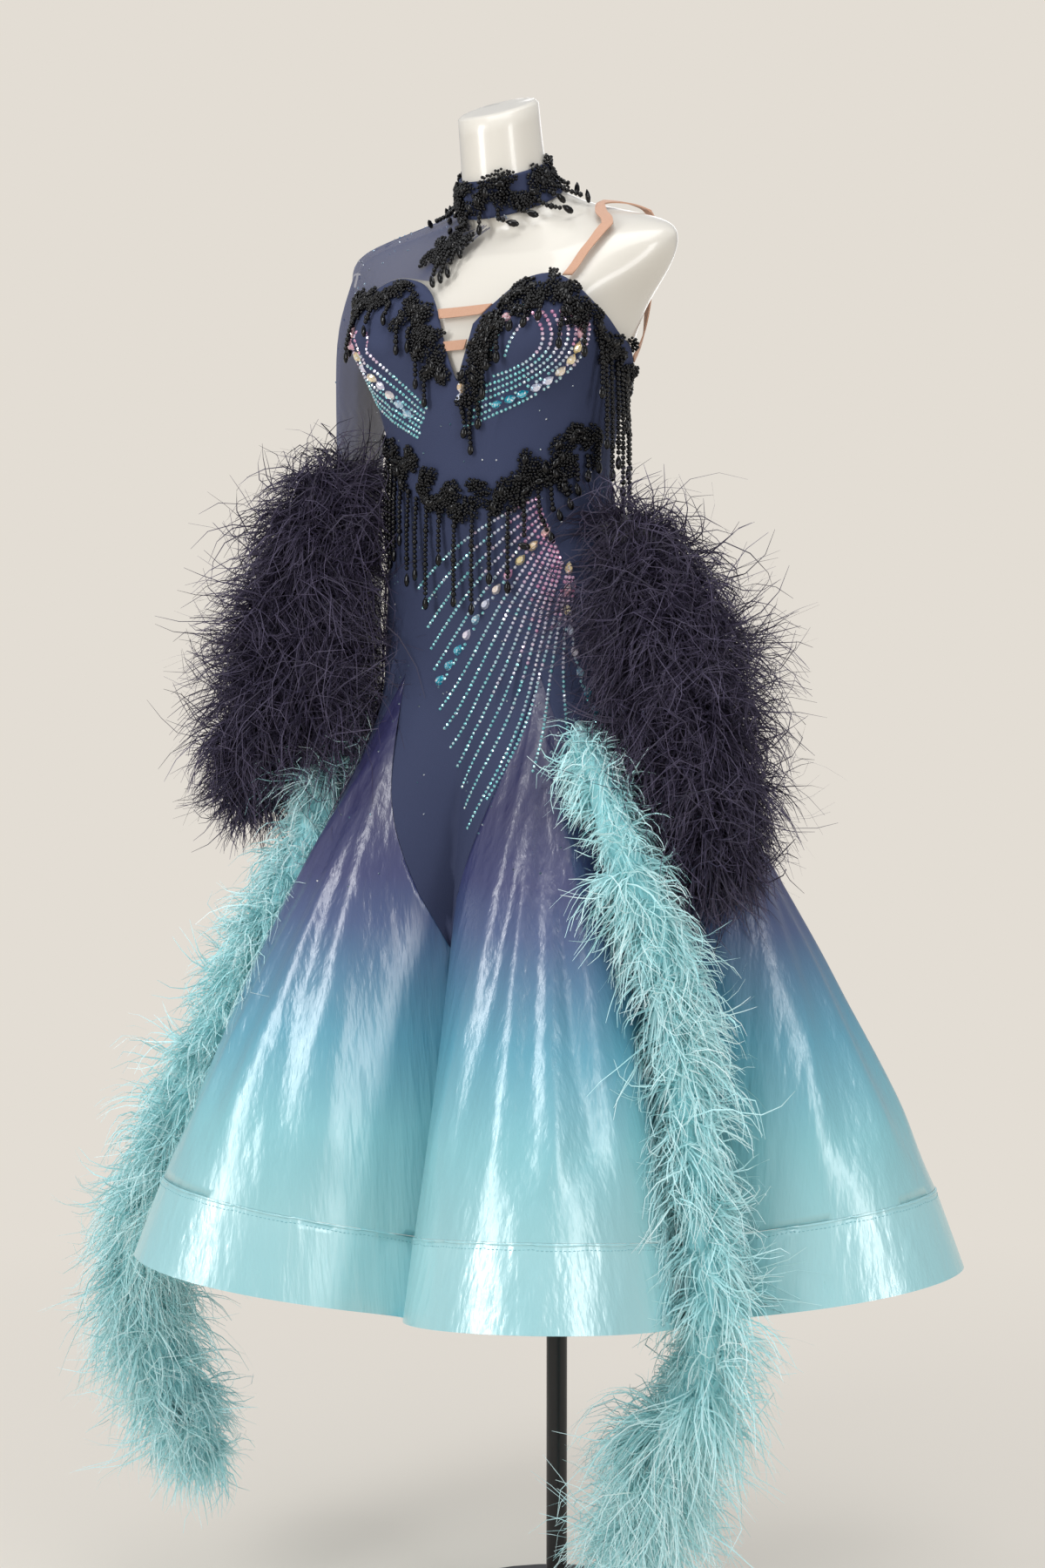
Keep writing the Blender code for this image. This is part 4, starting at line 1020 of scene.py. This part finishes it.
def barbs(core, tufts, seed, reach, droop, curl, stray, swept):
    """Centre lines of the barbs, which spring from the core, bend down and curl, and their shades."""
    rng = np.random.default_rng(seed)
    whole = BARBS_EACH // BARBS_TOGETHER
    bases, lengths = (np.array(rows) for rows in zip(*tufts))
    root, out = over_core(core, whole, rng)
    pick = np.array([np.linalg.norm(bases - place, axis=1).argmin() for place in root])
    way = cord_ways(bases)[pick]
    root = root - out * ROOT_SUNK
    group = np.repeat(np.arange(whole), BARBS_TOGETHER)
    count = len(group)
    aside = np.cross(way, out) * rng.normal(0, 0.5, (whole, 1))
    lean = out + aside + way * rng.normal(0.40, 0.45, (whole, 1))
    facing = np.clip(out @ np.array(swept), 0, 1)
    lean = lean + np.array(swept) * (0.4 + facing)[:, None]
    wild = rng.random(whole) < stray
    long = lengths[pick] * reach * rng.uniform(0.55, 1.0, whole) * np.where(wild, 1.35, 1.0)
    long = long * (1 + 0.35 * facing)
    long = long[group] * rng.uniform(0.72, 1.08, count)
    heavy = (droop * rng.uniform(0.5, 1.3, whole) * np.where(wild, 0.35, 1.0) * (1 - 0.6 * facing))[group]
    bend = (curl * rng.uniform(0.3, 1.3, whole) * np.where(wild, 1.5, 1.0))[group]
    bend = bend * rng.uniform(0.7, 1.3, count)
    heading = unit(unit(lean)[group] + rng.normal(0, 0.24, (count, 3)))
    across = unit(np.cross(heading, rng.normal(0, 1, (whole, 3))[group] + rng.normal(0, 0.35, (count, 3))))
    other = np.cross(heading, across)
    start = rng.uniform(0, 2 * math.pi, whole)[group]
    wind = (rng.choice((-1, 1), whole) * rng.uniform(1.5, 4.5, whole))[group]
    place = root[group] + rng.normal(0, 0.0022, (count, 3))
    lines = [place]
    for step in range(BARB_STEPS):
        share = (step + 0.5) / BARB_STEPS
        angle = (start + wind * share)[:, None]
        swirl = across * np.cos(angle) + other * np.sin(angle)
        fall = np.array((0, 0, -1.0)) * (heavy * share**1.2)[:, None]
        ahead = unit(heading + swirl * (bend * share)[:, None] + fall)
        place = place + ahead * (long / BARB_STEPS)[:, None]
        lines.append(place)
    lines = np.stack(lines, axis=1)
    low, high = np.array(cad_box[0]) - BOX_MARGIN, np.array(cad_box[1]) + BOX_MARGIN
    for _ in range(4):
        over = ((lines < low) | (lines > high)).any(axis=(1, 2))
        lines[over] = lines[over, :1] + (lines[over] - lines[over, :1]) * 0.72
    shade = 0.5 + 0.20 * rng.normal(0, 1, whole)[group] + 0.16 * rng.normal(0, 1, count)
    return lines, np.clip(shade, 0, 1)


def off_cloth(lines):
    """Lifts every point of the barbs that falls inside the skirt or the body onto its cloth."""
    for line in lines:
        for point in line[1:]:
            if point[2] < HEM_FOOT:
                continue
            middle = Vector((*(WAIST_CENTRE if point[2] > HIP_HEIGHT else HIP_CENTRE), point[2]))
            way = Vector(point) - middle
            length = way.length
            if length > CLOTH_REACH or length < 1e-4:
                continue
            way /= length
            spot = cloth_skin.ray_cast(middle + way * 0.6, -way, 0.6)[0]
            if spot is not None and (spot - middle).length + SKIN_CLEAR > length:
                point[:] = spot + way * SKIN_CLEAR


def barb_ribbons(name, lines, shade, dark, light, tipped, seed):
    """Thin ribbons along the barbs' centre lines, tinted from root to tip."""
    rng = np.random.default_rng(seed)
    count, rows = lines.shape[:2]
    ways = unit(np.gradient(lines, axis=1))
    side = unit(np.cross(ways, rng.normal(0, 1, (count, 1, 3))))
    share = np.linspace(0, 1, rows)[None, :, None]
    half = (BARB_ROOT * (1 - share) + BARB_TIP * share) / 2 * (1 + 0.5 * np.sin(share * math.pi))
    points = np.stack([lines - side * half, lines + side * half], axis=2).reshape(-1, 3)
    first = (np.arange(count) * rows * 2)[:, None] + np.arange(rows - 1)[None] * 2
    faces = np.stack([first, first + 1, first + 3, first + 2], axis=-1).reshape(-1, 4)
    mesh = bpy.data.meshes.new(name)
    mesh.from_pydata(points.tolist(), [], faces.tolist())
    dark, light, tipped = (np.array(c) for c in (dark, light, tipped))
    mixed = dark + (light - dark) * shade[:, None, None] * (0.30 + 0.70 * share)
    mixed = mixed + (tipped - mixed) * np.clip(share - 0.5, 0, 1) * shade[:, None, None] * 1.5
    tint_points(mesh, np.repeat(mixed.reshape(-1, 3), 2, axis=0))
    return mesh


def core_of(node):
    """The soft core of a float, with its tufts drawn in so that the barbs hide them."""
    bm = welded(node)
    drawn_in = {}
    for tip, rings in pointed_ends(bm):
        if len(rings) > 1:
            base = np.mean(rings[1], axis=0)
            for point in [tip, *rings[0]]:
                drawn_in[tuple(np.round(point, 6))] = base + (point - base) * TUFT_KEPT
    for vert in bm.verts:
        vert.co = drawn_in.get(tuple(np.round(np.array(vert.co), 6)), vert.co)
    return mesh_of(bm, f"{node}_down")


def plume_finish(name, glow):
    plume = Finish(
        name, sheen_weight=0.45, sheen_roughness=0.4, sheen_tint=(*glow, 1.0), specular_ior_level=0.4,
    )
    tint = plume.node("ShaderNodeAttribute", {"attribute_name": "tint"})
    flue = plume.noise(520, detail=1.0)
    plume.set(base_color=plume.mix(0.30 * flue, tint, glow), roughness=0.50 + 0.25 * flue)
    plume.bump(flue, 0.0002)
    return plume


# The core's finish: its colours are set darker than the barbs' as painted shade deep inside the plume.
def painted_shade_down_finish(name, deep, pale):
    down = Finish(name, sheen_weight=0.3)
    down.set(base_color=down.mix(down.noise(90), deep, pale), roughness=0.8 + 0.1 * down.noise(60))
    down.bump(down.noise(160, (1, 1, 0.3)), 0.004)
    return down


# Barbs' finish and the core's, the core's in colours darker than the barbs' as painted shade inside the
# plume; dark, light and tip colours, length against the tuft's, droop, curl and the share of stray tufts
PLUMES = {
    "dark": (
        plume_finish("dark_plume", dyed(96, 88, 122)),
        painted_shade_down_finish("dark_down", dyed(20, 17, 28), dyed(38, 33, 50)),
        dyed(18, 15, 24), dyed(52, 46, 65), dyed(102, 94, 119), 1.08, 2.4, 2.3, 0.26,
    ),
    "aqua": (
        plume_finish("aqua_plume", dyed(206, 238, 238)),
        painted_shade_down_finish("aqua_down", dyed(140, 214, 222), dyed(180, 234, 238)),
        dyed(178, 236, 240), dyed(226, 251, 252), dyed(250, 255, 255), 1.22, 2.3, 1.7, 0.18,
    ),
}
# Which way the barbs on a float's inner side are turned by the arm and the body
SWEPT = {"float_right_dark": (1.20, 0.30, 0.0), "float_right_aqua": (0.12, 0.0, 0.0)}
cloth_skin = gather(
    *(f"godet_{k}_satin" for k in range(1, 7)), "body_front_crepe", "body_back_crepe", "hem_band_satin",
)
for number, node in enumerate(("float_right_dark", "float_right_aqua", "float_left_dark", "float_left_aqua")):
    kind = node.rsplit("_", 1)[1]
    finish, down, dark, light, tipped, reach, droop, curl, stray = PLUMES[kind]
    bm = welded(node)
    tufts = []
    for tip, rings in pointed_ends(bm):
        if len(rings) > 1:
            base = np.mean(rings[1], axis=0)
            tufts.append((base, np.linalg.norm(tip - base)))
    bm.free()
    core = core_of(node)
    lines, shade = barbs(core, tufts, 70 + number, reach, droop, curl, stray, SWEPT.get(node, (0, 0, 0)))
    off_cloth(lines)
    mesh = barb_ribbons(f"{node}_barbs", lines, shade, dark, light, tipped, 90 + number)
    add_piece(f"{node}_barbs", mesh, finish, (node,), smooth=180)
    add_piece(f"{node}_down", core, down, (node,), smooth=180)
